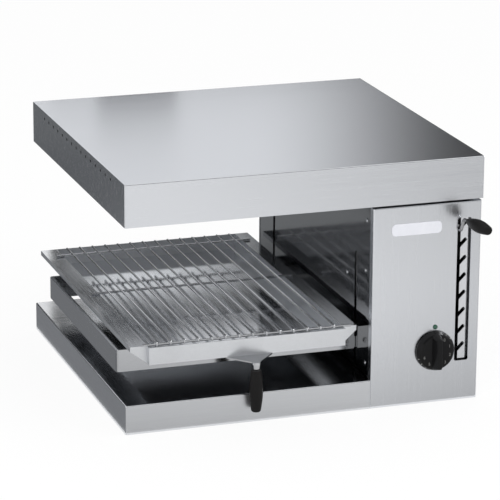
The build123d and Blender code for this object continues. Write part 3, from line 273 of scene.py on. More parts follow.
def tint(nodes, links, base, mask, dark):
    """The colour turned towards dark where the mask is high."""
    node = nodes.new("ShaderNodeMix")
    node.data_type = "RGBA"
    node.inputs[7].default_value = (*dark, 1.0)
    links.new(mask, node.inputs[0])
    links.new(base, node.inputs[6])
    return node.outputs[2]


def relief(nodes, links, shader, height, depth, strength=1.0):
    bump = preset(nodes.new("ShaderNodeBump"), Strength=strength, Distance=depth)
    links.new(height, bump.inputs["Height"])
    links.new(bump.outputs["Normal"], shader.inputs["Normal"])


def scaled(rgb, factor):
    return tuple(min(1.0, channel * factor) for channel in rgb)


def upward_share(nodes, links):
    """How far a face looks up: 1 straight up, -1 straight down."""
    lie = nodes.new("ShaderNodeNewGeometry")
    split = nodes.new("ShaderNodeSeparateXYZ")
    links.new(lie.outputs["True Normal"], split.inputs[0])
    return split.outputs["Z"]


def flatness(nodes, links):
    """1 on faces that look up or down, 0 on upright faces."""
    size = nodes.new("ShaderNodeMath")
    size.operation = "ABSOLUTE"
    links.new(upward_share(nodes, links), size.inputs[0])
    return size.outputs[0]


def facing_down(nodes, links):
    """1 on faces that look down, 0 on the rest."""
    low = nodes.new("ShaderNodeMath")
    low.operation = "LESS_THAN"
    low.inputs[1].default_value = -0.5
    links.new(upward_share(nodes, links), low.inputs[0])
    return low.outputs[0]


def turned_towards(nodes, links, base, mask, reach, other):
    """The colour turned towards another one, by reach where the mask is 1."""
    return tint(nodes, links, base, shade_range(nodes, links, mask, 0.0, reach), other)


def combined(nodes, links, first, second, operation="ADD"):
    both = nodes.new("ShaderNodeMath")
    both.operation = operation
    links.new(first, both.inputs[0])
    links.new(second, both.inputs[1])
    return both.outputs[0]


def sheet_metal(
    name, rgb, roughness, run, contrast=0.03, smudge=0.4, dull_sides=0.0, underside_shade=1.0
):
    """Stainless sheet: brush marks along one direction and faint wipe marks.

    dull_sides is added to the roughness of upright faces.
    underside is the tone of faces that look down, as painted shade.
    """
    material, nodes, links, shader = new_material(name)
    marks = place_group(nodes, BRUSHING, Run=run, Softness=0.3)
    wiped = place_group(nodes, HANDLING, Size=7.0, Cover=smudge)
    base = colour_range(
        nodes, links, marks.outputs["Marks"], scaled(rgb, 1 - contrast), scaled(rgb, 1 + contrast)
    )
    base = turned_towards(nodes, links, base, wiped.outputs["Smudge"], 0.18, scaled(rgb, 0.82))
    # Painted shade: faces that look down are darkened to the underside share of the colour.
    if underside_shade < 1.0:
        base = tint(nodes, links, base, facing_down(nodes, links), scaled(rgb, underside_shade))
    links.new(base, shader.inputs["Base Color"])
    rough = shade_range(nodes, links, marks.outputs["Marks"], roughness - 0.04, roughness + 0.05)
    wipe = shade_range(nodes, links, wiped.outputs["Smudge"], 0.0, 0.05)
    rough = combined(nodes, links, rough, wipe)
    sides = shade_range(nodes, links, flatness(nodes, links), dull_sides, 0.0)
    links.new(combined(nodes, links, rough, sides), shader.inputs["Roughness"])
    shader.inputs["Metallic"].default_value = 1.0
    relief(nodes, links, shader, marks.outputs["Height"], BRUSH_DEPTH, 0.35)
    return material


def plated_metal(name, rgb, roughness, fineness=1400.0, spread=0.05, depth=0.00002):
    """Plated or drawn metal with a fine grain and cloudy tone."""
    material, nodes, links, shader = new_material(name)
    grain = place_group(nodes, GRAIN, Fineness=fineness)
    cloud = place_group(nodes, HANDLING, Size=22.0, Cover=0.55)
    base = colour_range(nodes, links, grain.outputs["Grain"], scaled(rgb, 0.9), scaled(rgb, 1.1))
    base = turned_towards(nodes, links, base, cloud.outputs["Smudge"], 0.3, scaled(rgb, 0.7))
    links.new(base, shader.inputs["Base Color"])
    rough = shade_range(nodes, links, cloud.outputs["Smudge"], roughness, roughness + spread)
    links.new(rough, shader.inputs["Roughness"])
    shader.inputs["Metallic"].default_value = 1.0
    relief(nodes, links, shader, grain.outputs["Grain"], depth, 0.3)
    return material


def moulded(name, rgb, roughness, coat=0.0, fineness=1600.0, depth=0.00003, sheen=0.5):
    """Moulded plastic or enamel with a fine grain and rubbed patches."""
    material, nodes, links, shader = new_material(name)
    grain = place_group(nodes, GRAIN, Fineness=fineness)
    rubbed = place_group(nodes, HANDLING, Size=30.0, Cover=0.5)
    base = colour_range(nodes, links, grain.outputs["Grain"], scaled(rgb, 0.85), scaled(rgb, 1.15))
    base = turned_towards(nodes, links, base, rubbed.outputs["Smudge"], 0.35, scaled(rgb, 1.5))
    links.new(base, shader.inputs["Base Color"])
    worn = max(0.02, roughness - 0.05)
    rough = shade_range(nodes, links, rubbed.outputs["Smudge"], roughness + 0.04, worn)
    links.new(rough, shader.inputs["Roughness"])
    shader.inputs["Specular IOR Level"].default_value = sheen
    shader.inputs["Coat Weight"].default_value = coat
    shader.inputs["Coat Roughness"].default_value = 0.08
    relief(nodes, links, shader, grain.outputs["Grain"], depth, 0.4)
    return material


def oxidised_tube(name, rgb):
    """Heater sheath: matt oxide with straw and blue heat tones along its length."""
    material, nodes, links, shader = new_material(name)
    grain = place_group(nodes, GRAIN, Fineness=2200.0)
    heat = place_group(nodes, HANDLING, Size=16.0, Cover=0.6)
    base = colour_range(nodes, links, grain.outputs["Grain"], scaled(rgb, 0.7), scaled(rgb, 1.35))
    base = turned_towards(nodes, links, base, heat.outputs["Smudge"], 0.55, (0.20, 0.13, 0.085))
    links.new(base, shader.inputs["Base Color"])
    rough = shade_range(nodes, links, heat.outputs["Smudge"], 0.52, 0.38)
    links.new(rough, shader.inputs["Roughness"])
    shader.inputs["Metallic"].default_value = 0.8
    relief(nodes, links, shader, grain.outputs["Grain"], 0.00004, 0.5)
    return material


def fibre_slab(name, rgb):
    """Mineral wool: tangled short fibres, with painted shade darkening the hollows between tufts."""
    material, nodes, links, shader = new_material(name)
    strands = place_group(nodes, BRUSHING, Run=(260.0, 240.0, 900.0), Softness=0.2)
    tuft_hollow_shade = place_group(nodes, GRAIN, Fineness=420.0)
    base = colour_range(nodes, links, strands.outputs["Marks"], scaled(rgb, 0.6), scaled(rgb, 1.15))
    # Painted shade: darker towards the edges of the tufts, in the hollows between them.
    base = turned_towards(nodes, links, base, tuft_hollow_shade.outputs["Specks"], 0.4, scaled(rgb, 0.5))
    links.new(base, shader.inputs["Base Color"])
    shader.inputs["Roughness"].default_value = 0.95
    relief(nodes, links, shader, strands.outputs["Height"], 0.0012, 0.8)
    return material


def twisted_cable(name, rgb):
    """Steel cable: strands that wind round its run, as slanting bright and dark bands of painted light on
    the strands' crowns and painted shade in the grooves between them.
    """
    material, nodes, links, shader = new_material(name)
    place = nodes.new("ShaderNodeTexCoord")
    lay = preset(nodes.new("ShaderNodeTexWave"), Scale=170.0, Distortion=0.4)
    lay.bands_direction = "DIAGONAL"
    links.new(place.outputs["Object"], lay.inputs["Vector"])
    grain = place_group(nodes, GRAIN, Fineness=3000.0)
    # Painted light and shade: the bands run from 0.35 to 1.1 of the cable's colour.
    base = colour_range(nodes, links, lay.outputs["Fac"], scaled(rgb, 0.35), scaled(rgb, 1.1))
    base = turned_towards(nodes, links, base, grain.outputs["Grain"], 0.3, scaled(rgb, 0.4))
    links.new(base, shader.inputs["Base Color"])
    shader.inputs["Roughness"].default_value = 0.36
    shader.inputs["Metallic"].default_value = 1.0
    relief(nodes, links, shader, lay.outputs["Fac"], 0.0003, 0.8)
    return material


def moulded_lens(name, rgb):
    """Pilot lens: deep clear plastic over a dark lamp, with painted highlights where its inner ribs show."""
    material, nodes, links, shader = new_material(name)
    place = nodes.new("ShaderNodeTexCoord")
    ribs = preset(nodes.new("ShaderNodeTexWave"), Scale=320.0, Distortion=0.2)
    links.new(place.outputs["Object"], ribs.inputs["Vector"])
    # Painted highlight: the colour runs from 0.7 to 1.6 times the lens colour along the ribs.
    base = colour_range(nodes, links, ribs.outputs["Fac"], scaled(rgb, 0.7), scaled(rgb, 1.6))
    links.new(base, shader.inputs["Base Color"])
    shader.inputs["Roughness"].default_value = 0.08
    shader.inputs["Coat Weight"].default_value = 0.6
    relief(nodes, links, shader, ribs.outputs["Fac"], 0.0001, 0.3)
    return material


def make_materials(finishes):
    """Every finish on the object, by its own name."""
    satin, bright = tuple(finishes.steel), tuple(finishes.bright)
    dull, shine = finishes.steel_roughness, finishes.bright_roughness
    upright = sheet_metal(
        "Satin steel, upright brushing", scaled(satin, 1.05), dull, BRUSHED_UP, contrast=0.02
    )
    across = sheet_metal(
        "Satin steel, brushing across", satin, dull - 0.06, BRUSHED_ACROSS, 0.02, 0.35, dull_sides=0.06
    )
    # Painted shade: the column wall is bright steel darkened to 0.4 of its colour.
    wall = sheet_metal(
        "Column wall steel, painted shade", scaled(bright, WALL_PAINTED_SHADE), shine - 0.04, BRUSHED_IN_DEPTH, 0.04, 0.5
    )
    # Painted light: the deck is bright steel lightened 1.2 times.
    deck = sheet_metal(
        "Bright steel deck, painted light", scaled(bright, DECK_PAINTED_LIGHT), shine, DECK_BRUSHING, 0.03, 0.3, dull_sides=0.2
    )
    # Painted light: the tray is bright steel lightened 1.24 times.
    tray = sheet_metal(
        "Tray steel, painted light and shade",
        scaled(bright, TRAY_PAINTED_LIGHT),
        shine - 0.02,
        TRAY_BRUSHING,
        0.05,
        0.5,
        dull_sides=0.22,
        # Painted shade: the tray's faces that look down are darkened to 0.45.
        underside_shade=TRAY_UNDERSIDE_SHADE,
    )
    return {
        "upright": upright,
        "across": across,
        "bright": sheet_metal("Bright steel", bright, shine, BRUSHED_IN_DEPTH),
        "wall": wall,
        "deck": deck,
        "tray": tray,
        "comb": sheet_metal("Polished comb plate", (0.80, 0.81, 0.84), dull, BRUSHED_UP, 0.02, 0.3),
        "zinc": plated_metal("Zinc plate", tuple(finishes.zinc), 0.38, 700.0, 0.12),
        # Painted shade: near-black steel on the hood plinth and the handle slider stands in for the shade in
        # the gap under the hood and in the handle's channel.
        "shade": plated_metal("Black steel, painted shade", (0.03, 0.03, 0.032), 0.55, 900.0, 0.1),
        # Painted reflection: the handle stem is steel darkened to about half of chrome's colour, standing in
        # for the dark surroundings it mirrors.
        "stem": plated_metal("Dark steel rod, painted reflection", (0.34, 0.34, 0.35), 0.22, 1800.0, 0.1, 0.00001),
        "chrome": plated_metal("Chrome plate", tuple(finishes.chrome), 0.13, 2500.0, 0.08, 0.00001),
        "reflector": plated_metal("Reflector sheet", scaled(bright, 1.1), 0.2, 500.0, 0.15),
        "bronze": plated_metal("Bronze", tuple(finishes.bronze), 0.4, 1500.0, 0.1),
        "sheath": oxidised_tube("Heater sheath", tuple(finishes.sheath)),
        "ceramic": moulded("Ceramic", tuple(finishes.ceramic), 0.55, 0.0, 2200.0),
        "wool": fibre_slab("Mineral wool", tuple(finishes.wool)),
        "knob": moulded("Glossy knob", tuple(finishes.knob), 0.12, 0.0, 2500.0, 0.00001, sheen=0.16),
        "grip": moulded("Satin grip", tuple(finishes.grip), 0.32, 0.0, 1500.0, 0.00004, sheen=0.10),
        "housing": moulded("Moulded housing", tuple(finishes.housing), 0.45, 0.0, 1800.0),
        "print": moulded("Dial print", tuple(finishes.print_white), 0.45, 0.0, 4000.0, 0.00001),
        "plate": moulded("Blank plate enamel", tuple(finishes.plate), 0.22, 0.5, 2600.0, 0.00001),
        # The numbers are drawn at 0.3 of the dial print's colour.
        "faint_print": moulded(
            "Faint dial print", scaled(tuple(finishes.print_white), 0.3), 0.5, 0.0, 4000.0, 0.00001, sheen=0.1
        ),
        # Painted shade: near-black sleeves in the hood's side holes make them read dark.
        "vent_shade": moulded("Vent shade sleeve", (0.004, 0.004, 0.004), 0.8, 0.0, 3000.0, sheen=0.0),
        # Painted shade: near-black crosses on the screw heads stand in for the shade in their recesses.
        "recess_shade": moulded("Screw recess", (0.03, 0.03, 0.032), 0.6, 0.0, 3000.0),
        "lens": moulded_lens("Pilot lens", tuple(finishes.lens)),
        "cable": twisted_cable("Twisted cable", (0.42, 0.42, 0.43)),
    }


MATERIALS = {}


def material(name):
    if not MATERIALS:
        MATERIALS.update(make_materials(bpy.context.scene.melter_finishes))
    return MATERIALS[name]


def finish_nodes(**finishes):
    """Gives each named CAD node its finish."""
    for name, names in finishes.items():
        for node in names:
            if node not in NODES:
                raise RuntimeError(f"the packed model has no node {node}")
            piece = NODES[node]
            if not piece.material_slots:
                piece.data.materials.append(material(name))
            for slot in piece.material_slots:
                slot.material = material(name)


# ------------------------------------------------------------------ shaping
def in_scene(name, data):
    piece = bpy.data.objects.new(name, data)
    bpy.context.scene.collection.objects.link(piece)
    return piece


def to_object(name, shape, finish, body, smooth=False):
    """A bmesh as a finished piece that rides on a body."""
    mesh = bpy.data.meshes.new(name)
    bmesh.ops.recalc_face_normals(shape, faces=shape.faces)
    shape.to_mesh(mesh)
    shape.free()
    piece = in_scene(name, mesh)
    piece.data.materials.append(material(finish))
    if smooth:
        for face in mesh.polygons:
            face.use_smooth = True
    if body:
        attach(piece, body)
    return piece


def add_outline(shape, points, depth, place):
    """A flat outline in X and Y, pushed back from Z 0 by depth, set in place by a matrix."""
    front = [shape.verts.new(place @ Vector((x, y, 0.0))) for x, y in points]
    rear = [shape.verts.new(place @ Vector((x, y, -depth))) for x, y in points]
    shape.faces.new(front)
    shape.faces.new(list(reversed(rear)))
    for index in range(len(points)):
        following = (index + 1) % len(points)
        shape.faces.new((front[index], rear[index], rear[following], front[following]))
    return front


def rounded_outline(width, height, radius, steps=6):
    points = []
    for corner_x, corner_y, start in ((1, 1, 0), (-1, 1, 90), (-1, -1, 180), (1, -1, 270)):
        for step in range(steps + 1):
            turn = math.radians(start + 90 * step / steps)
            x = corner_x * (width / 2 - radius) + radius * math.cos(turn)
            y = corner_y * (height / 2 - radius) + radius * math.sin(turn)
            points.append((x, y))
    return points


def add_turned(shape, profile, place, segments=32):
    """A turned form: (radius, along Z) rings from its foot to its crown."""
    rings = []
    for radius, along in profile:
        ring = []
        for step in range(segments):
            turn = 2 * math.pi * step / segments
            point = Vector((radius * math.cos(turn), radius * math.sin(turn), along))
            ring.append(shape.verts.new(place @ point))
        rings.append(ring)
    for lower, upper in zip(rings, rings[1:]):
        for step in range(segments):
            following = (step + 1) % segments
            shape.faces.new((lower[step], lower[following], upper[following], upper[step]))
    shape.faces.new(list(reversed(rings[0])))
    shape.faces.new(rings[-1])


def facing(point, normal, up=Vector((0.0, 0.0, 1.0))):
    """A matrix that sets local Z along normal and local Y towards up, at point."""
    z = Vector(normal).normalized()
    x = up.cross(z)
    if x.length < 1e-6:
        x = Vector((1.0, 0.0, 0.0))
    x.normalize()
    y = z.cross(x)
    turn = Matrix((x, y, z)).transposed().to_4x4()
    return Matrix.Translation(point) @ turn


FRONT_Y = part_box("front_panel")[0][1]


# ------------------------------------------------------------------ the CAD parts' finishes
class MELTER_OT_casings(Operator):
    """Finish the hood, base and column sheets"""

    bl_idname = "melter.casings"
    bl_label = "Casing sheets"

    def execute(self, context):
        finish_nodes(
            upright=["front_panel", "side_panel", "back_panel"],
            across=["hood_casing"],
            deck=["base_casing"],
            bright=["column_top", "wall_screws"],
            comb=["notch_plate"],
            wall=["column_wall"],
            shade=["hood_plinth"],
            zinc=["base_plate", "base_stiffeners", "hood_closing_plate", "hood_screws"],
        )
        return {"FINISHED"}


class MELTER_OT_heater(Operator):
    """Finish the reflector, the heater tubes and the insulation"""

    bl_idname = "melter.heater"
    bl_label = "Heater"

    def execute(self, context):
        finish_nodes(
            reflector=["reflector"],
            sheath=["heating_elements"],
            zinc=["element_rails"],
            ceramic=["element_terminals"],
            wool=["insulation"],
        )
        return {"FINISHED"}


class MELTER_OT_rack(Operator):
    """Finish the rack, the drip tray and the wire grid"""

    bl_idname = "melter.rack"
    bl_label = "Rack and tray"

    def execute(self, context):
        finish_nodes(
            bright=["cradle_frame", "cradle_rails", "front_arm", "rear_arm", "tray_handle_plate"],
            tray=["drip_tray"],
            chrome=["wire_grid", "tray_ferrule", "cradle_screws"],
            grip=["tray_grip"],
        )
        return {"FINISHED"}


class MELTER_OT_lift(Operator):
    """Finish the shaft, wheels, cables, guides and slide inside the column"""

    bl_idname = "melter.lift"
    bl_label = "Lift"

    def execute(self, context):
        finish_nodes(
            zinc=[
                "shaft_brackets", "idler_brackets", "carriage_plate", "cable_clamp",
                "handle_pulley", "rack_pulley", "handle_idler", "rack_idler",
            ],
            chrome=["lift_shaft", "idler_axles", "handle_rod", "guide_rods"],
            stem=["handle_stem"],
            shade=["handle_slider"],
            bronze=["shaft_bushes"],
            cable=["handle_cable", "rack_cable"],
            housing=["guide_blocks"],
            grip=["handle_grip"],
        )
        return {"FINISHED"}


class MELTER_OT_controls(Operator):
    """Finish the knob, its regulator, the pilot lamp and the supply parts"""

    bl_idname = "melter.controls"
    bl_label = "Controls"

    def execute(self, context):
        finish_nodes(
            knob=["knob"],
            chrome=["regulator_spindle"],
            housing=["energy_regulator", "pilot_holder", "cable_gland", "terminal_block"],
            lens=["pilot_lens"],
        )
        return {"FINISHED"}


# ------------------------------------------------------------------ small pieces
# The dial: how far its faces lie ahead of the knob's rear edge and inside its rim.
NUMBERS_AHEAD, NUMBERS_RING, TEXT_PER_HEIGHT = 0.011, 0.70, 1.35
MARKS_AHEAD, MARKS_INSET = 0.0063, 0.0016
# The weld dabs: beside a wire's middle, and above the grid's foot.
DAB_ASIDE, DAB_ABOVE = 0.0017, 0.0037
# The casing screws: how far they lie inside a panel's edges.
SCREW_INSET, SCREW_LOWEST = 0.014, 0.02


class MELTER_OT_blank_plate(Operator):
    """Make the blank plate at the top of the front panel"""

    bl_idname = "melter.blank_plate"
    bl_label = "Blank plate"

    def execute(self, context):
        sizes = context.scene.melter_fittings
        shape = bmesh.new()
        centre = (sizes.plate_centre_x, FRONT_Y - sizes.plate_thickness, sizes.plate_centre_z)
        place = facing(centre, (0.0, -1.0, 0.0))
        outline = rounded_outline(sizes.plate_length, sizes.plate_width, sizes.plate_width * 0.36)
        add_outline(shape, outline, sizes.plate_thickness, place)
        piece = to_object("blank_plate", shape, "plate", "frame")
        edge = piece.modifiers.new("rounded edge", "BEVEL")
        edge.width = sizes.plate_thickness * 0.5
        edge.segments = 3
        edge.limit_method = "ANGLE"
        return {"FINISHED"}


class MELTER_OT_dial(Operator):
    """Make the numbers and the marks on the knob"""

    bl_idname = "melter.dial"
    bl_label = "Dial print"

    def execute(self, context):
        sizes = context.scene.melter_fittings
        low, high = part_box("knob")
        centre = Vector(((low[0] + high[0]) / 2, 0.0, (low[2] + high[2]) / 2))
        radius = (high[0] - low[0]) / 2
        face_y = high[1] - NUMBERS_AHEAD
        numbers = []
        for count in range(sizes.number_count + 1):
            turn = math.radians(sizes.number_start - sizes.number_step * count)
            curve = bpy.data.curves.new(f"number_{count}", "FONT")
            curve.body = str(count)
            curve.size = sizes.number_height * TEXT_PER_HEIGHT
            curve.align_x = "CENTER"
            curve.align_y = "CENTER"
            curve.extrude = 0.00012
            text = in_scene(f"number_{count}", curve)
            reach = radius * NUMBERS_RING
            spot = centre + Vector((reach * math.cos(turn), face_y - 0.00005, reach * math.sin(turn)))
            text.matrix_world = facing(spot, (0.0, -1.0, 0.0))
            bpy.context.view_layer.update()
            depsgraph = bpy.context.evaluated_depsgraph_get()
            mesh = bpy.data.meshes.new_from_object(text.evaluated_get(depsgraph))
            mesh.transform(text.matrix_world)
            numbers.append(mesh)
            bpy.data.objects.remove(text)
        shape = bmesh.new()
        for mesh in numbers:
            shape.from_mesh(mesh)
            bpy.data.meshes.remove(mesh)
        to_object("dial_numbers", shape, "faint_print", "knob_set")

        shape = bmesh.new()
        for count in range(sizes.number_count * 2 + 1):
            turn = math.radians(sizes.number_start - sizes.number_step * count / 2)
            out = Vector((math.cos(turn), 0.0, math.sin(turn)))
            spot = centre + out * (radius - MARKS_INSET)
            spot.y = high[1] - MARKS_AHEAD
            slope = (out * 6.5 + Vector((0.0, -3.0, 0.0))).normalized()
            ahead = Vector((0.0, -1.0, 0.0))
            along = (ahead - slope * slope.dot(ahead)).normalized()
            place = facing(spot + slope * 0.00025, slope, along)
            wide = 0.0009 if count % 2 else 0.0006
            add_outline(shape, rounded_outline(wide, sizes.mark_length, wide * 0.45, 3), 0.0005, place)
        to_object("dial_marks", shape, "print", "knob_set")
        return {"FINISHED"}


class MELTER_OT_screw_recesses(Operator):
    """Make near-black crosses on the screws that show, as painted shade in their cross recesses"""

    bl_idname = "melter.screw_recesses"
    bl_label = "Screw recesses"

    def execute(self, context):
        shape = bmesh.new()
        for centre, normal in self.heads("wall_screws", 0, -1):
            self.add_cross(shape, centre, normal, 0.0034)
        to_object("wall_screw_recess_shade", shape, "recess_shade", "frame")
        shape = bmesh.new()
        for centre, normal in self.heads("cradle_screws", 1, 0):
            self.add_cross(shape, centre, normal, 0.0036)
        to_object("cradle_screw_recess_shade", shape, "recess_shade", "rack")
        return {"FINISHED"}

    def heads(self, node, axis, side):
        """The middle of each screw head of a node, and the way it faces."""
        shape = bmesh.new()
        shape.from_mesh(NODES[node].data)
        bmesh.ops.remove_doubles(shape, verts=shape.verts, dist=1e-6)
        found = []
        # A dict keeps the mesh's own order, so the heads come out alike in each run.
        left = dict.fromkeys(shape.verts)
        while left:
            island, edge = [], [next(iter(left))]
            del left[edge[0]]
            while edge:
                vert = edge.pop()
                island.append(vert)
                for link in vert.link_edges:
                    other = link.other_vert(vert)
                    if other in left:
                        del left[other]
                        edge.append(other)
            points = [vert.co.copy() for vert in island]
            low = [min(point[i] for point in points) for i in range(3)]
            high = [max(point[i] for point in points) for i in range(3)]
            middle = Vector((low[i] + high[i]) / 2 for i in range(3))
            way = side or (-1 if middle[axis] < 0.05 else 1)
            middle[axis] = low[axis] if way < 0 else high[axis]
            normal = Vector((0.0, 0.0, 0.0))
            normal[axis] = way
            found.append((middle, normal))
        shape.free()
        return found

    def add_cross(self, shape, centre, normal, size):
        arm, half = size / 2, size * 0.24 / 2
        outline, quarter = [], [(arm, -half), (arm, half), (half, half)]
        for _ in range(4):
            outline += quarter
            quarter = [(-y, x) for x, y in quarter]
        place = facing(centre + normal * 0.00005, normal) @ Matrix.Rotation(math.radians(20), 4, "Z")
        add_outline(shape, outline, 0.0006, place)


class MELTER_OT_vent_sleeves(Operator):
    """Line the row of holes in the hood's left side with near-black sleeves, as painted shade that makes the
    holes read dark
    """

    bl_idname = "melter.vent_sleeves"
    bl_label = "Vent sleeves"

    def execute(self, context):
        sizes = context.scene.melter_fittings
        holes = self.holes()
        if not holes:
            raise RuntimeError("the hood's side holes were not found")
        shape = bmesh.new()
        for centre, radius in holes:
            place = facing(centre, (-1.0, 0.0, 0.0))
            bore, outer = radius * 0.84, radius * 0.985
            deep = sizes.sleeve_depth
            profile = [
                (outer, -deep - 0.0002), (outer, -0.00012), (outer * 0.97, -0.00004),
                (bore, -0.00008), (bore, -deep), (0.0002, -deep),
            ]
            add_turned(shape, profile, place, 20)
        to_object("vent_sleeves", shape, "vent_shade", "frame")
        return {"FINISHED"}

    def holes(self):
        """The middle and radius of each hole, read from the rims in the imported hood."""
        low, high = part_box("hood_casing")
        rims = []
        for vert in NODES["hood_casing"].data.vertices:
            point = vert.co
            on_side = abs(point.x - low[0]) < 1e-5
            inside_z = low[2] + 0.004 < point.z < high[2] - 0.004
            inside_y = low[1] + 0.02 < point.y < high[1] - 0.02
            if on_side and inside_z and inside_y:
                rims.append((point.y, point.z))
        groups = []
        for y, z in sorted(rims):
            if not groups or y - groups[-1][-1][0] > 0.008:
                groups.append([])
            groups[-1].append((y, z))
        found = []
        for group in groups:
            ys, zs = [y for y, z in group], [z for y, z in group]
            centre = Vector((low[0], (min(ys) + max(ys)) / 2, (min(zs) + max(zs)) / 2))
            found.append((centre, (max(ys) - min(ys)) / 2))
        return found


class MELTER_OT_weld_dabs(Operator):
    """Make the small weld dabs where the grid's wires cross"""

    bl_idname = "melter.weld_dabs"
    bl_label = "Weld dabs"

    def execute(self, context):
        sizes = context.scene.melter_fittings
        low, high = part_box("wire_grid")
        wires = sorted(self.wire_lines(low, high))
        if len(wires) < 3:
            raise RuntimeError("the grid's long wires were not found")
        shape = bmesh.new()
        across = [low[1] + 0.0071, low[1] + (high[1] - low[1]) * 0.53, high[1] - 0.029]
        for y in across:
            for x in wires:
                for side in (-1, 1):
                    place = Matrix.Translation((x + side * DAB_ASIDE, y, low[2] + DAB_ABOVE))
                    place = place @ Matrix.Diagonal((1.0, 1.25, 0.8, 1.0))
                    bmesh.ops.create_icosphere(shape, subdivisions=2, radius=sizes.dab_radius, matrix=place)
        to_object("weld_dabs", shape, "chrome", "grid", smooth=True)
        return {"FINISHED"}

    def wire_lines(self, low, high):
        """The X of each long wire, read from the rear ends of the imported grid."""
        ends = [vert.co.x for vert in NODES["wire_grid"].data.vertices if vert.co.y > high[1] - 0.0005]
        lines = []
        for x in sorted(ends):
            if not lines or x - lines[-1][-1] > 0.006:
                lines.append([x])
            else:
                lines[-1].append(x)
        return [(line[0] + line[-1]) / 2 for line in lines]


class MELTER_OT_casing_screws(Operator):
    """Make the small screws that hold the back and side panels"""

    bl_idname = "melter.casing_screws"
    bl_label = "Casing screws"

    def execute(self, context):
        sizes = context.scene.melter_fittings
        radius, height = sizes.screw_radius, sizes.screw_height
        crown = [
            (radius, 0.0), (radius, height * 0.35), (radius * 0.86, height * 0.8),
            (radius * 0.5, height), (0.0005, height),
        ]
        spots = []
        low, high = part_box("back_panel")
        for x in (low[0] + 0.012, high[0] - 0.010):
            for z in (SCREW_LOWEST, 0.125, 0.225, high[2] - SCREW_INSET):
                spots.append((Vector((x, high[1], z)), Vector((0.0, 1.0, 0.0))))
        low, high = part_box("side_panel")
        for y in (low[1] + SCREW_INSET, high[1] - SCREW_INSET):
            for z in (SCREW_LOWEST, high[2] - SCREW_INSET):
                spots.append((Vector((high[0], y, z)), Vector((1.0, 0.0, 0.0))))
        # Painted shade: a near-black cross on top of each head stands in for the shade in its slots.
        heads, slot_shade = bmesh.new(), bmesh.new()
        slit = rounded_outline(radius * 0.95, radius * 0.2, radius * 0.05, 2)
        for index, (spot, normal) in enumerate(spots):
            place = facing(spot, normal)
            add_turned(heads, crown, place, 24)
            turn = Matrix.Rotation(math.radians(37 * index), 4, "Z")
            lift = Matrix.Translation((0.0, 0.0, height + 0.00004))
            for quarter in (0, 90):
                arm = Matrix.Rotation(math.radians(quarter), 4, "Z")
                add_outline(slot_shade, slit, 0.0005, place @ lift @ turn @ arm)
        to_object("casing_screws", heads, "zinc", "frame", smooth=True)
        to_object("casing_screw_recess_shade", slot_shade, "recess_shade", "frame")
        return {"FINISHED"}


# ------------------------------------------------------------------ studio
FLOOR_CARD_Z = 0.002
REAR_Y = 1.5


def seen_by_eye_and_gloss(nodes, links):
    """1 for camera, mirror and clear rays, 0 for diffuse light."""
    rays = nodes.new("ShaderNodeLightPath").outputs
    seen = combined(nodes, links, rays["Is Camera Ray"], rays["Is Glossy Ray"], "MAXIMUM")
    return combined(nodes, links, seen, rays["Is Transmission Ray"], "MAXIMUM")


def card(name, corners, rgb, fades=(), smooth=True):
    """A flat card that only shows in reflections.

    Each fade is an axis, a start, an end and the tone at the start.
    """
    mesh = bpy.data.meshes.new(name)
    mesh.from_pydata([Vector(corner) for corner in corners], [], [(0, 1, 2, 3)])
    piece = in_scene(name, mesh)
    paint = bpy.data.materials.new(name)
    paint.use_nodes = True
    nodes, links = paint.node_tree.nodes, paint.node_tree.links
    nodes.clear()
    out = nodes.new("ShaderNodeOutputMaterial")
    glow = nodes.new("ShaderNodeEmission")
    if not fades:
        glow.inputs["Color"].default_value = (*rgb, 1.0)
    else:
        spot = nodes.new("ShaderNodeNewGeometry")
        split = nodes.new("ShaderNodeSeparateXYZ")
        links.new(spot.outputs["Position"], split.inputs[0])
        tone = None
        for axis, start, end, low in fades:
            fade = nodes.new("ShaderNodeMapRange")
            fade.interpolation_type = "SMOOTHSTEP" if smooth else "LINEAR"
            preset(fade, From_Min=start, From_Max=end, To_Min=low, To_Max=1.0)
            links.new(split.outputs[axis], fade.inputs["Value"])
            if tone is None:
                tone = fade.outputs[0]
            else:
                tone = combined(nodes, links, tone, fade.outputs[0], "MULTIPLY")
        links.new(colour_range(nodes, links, tone, (0.0, 0.0, 0.0), rgb), glow.inputs["Color"])
    links.new(glow.outputs[0], out.inputs["Surface"])
    mesh.materials.append(paint)
    piece.visible_camera = False
    piece.visible_diffuse = False
    piece.visible_shadow = False
    piece.visible_transmission = False


def floor_card(name, x, y, rgb, fades=()):
    z = FLOOR_CARD_Z
    corners = [(x[0], y[0], z), (x[1], y[0], z), (x[1], y[1], z), (x[0], y[1], z)]
    card(name, corners, rgb, fades, smooth=False)


def wall_card(name, x, y, z, rgb, fades=()):
    corners = [(x[0], y, z[0]), (x[1], y, z[0]), (x[1], y, z[1]), (x[0], y, z[1])]
    card(name, corners, rgb, fades)


def lamp(name, spot, aim, size, power):
    data = bpy.data.lights.new(name, "AREA")
    data.shape = "RECTANGLE"
    data.size, data.size_y = size
    data.energy = power
    piece = in_scene(name, data)
    piece.matrix_world = facing(Vector(spot), Vector(spot) - Vector(aim))
    piece.visible_glossy = False


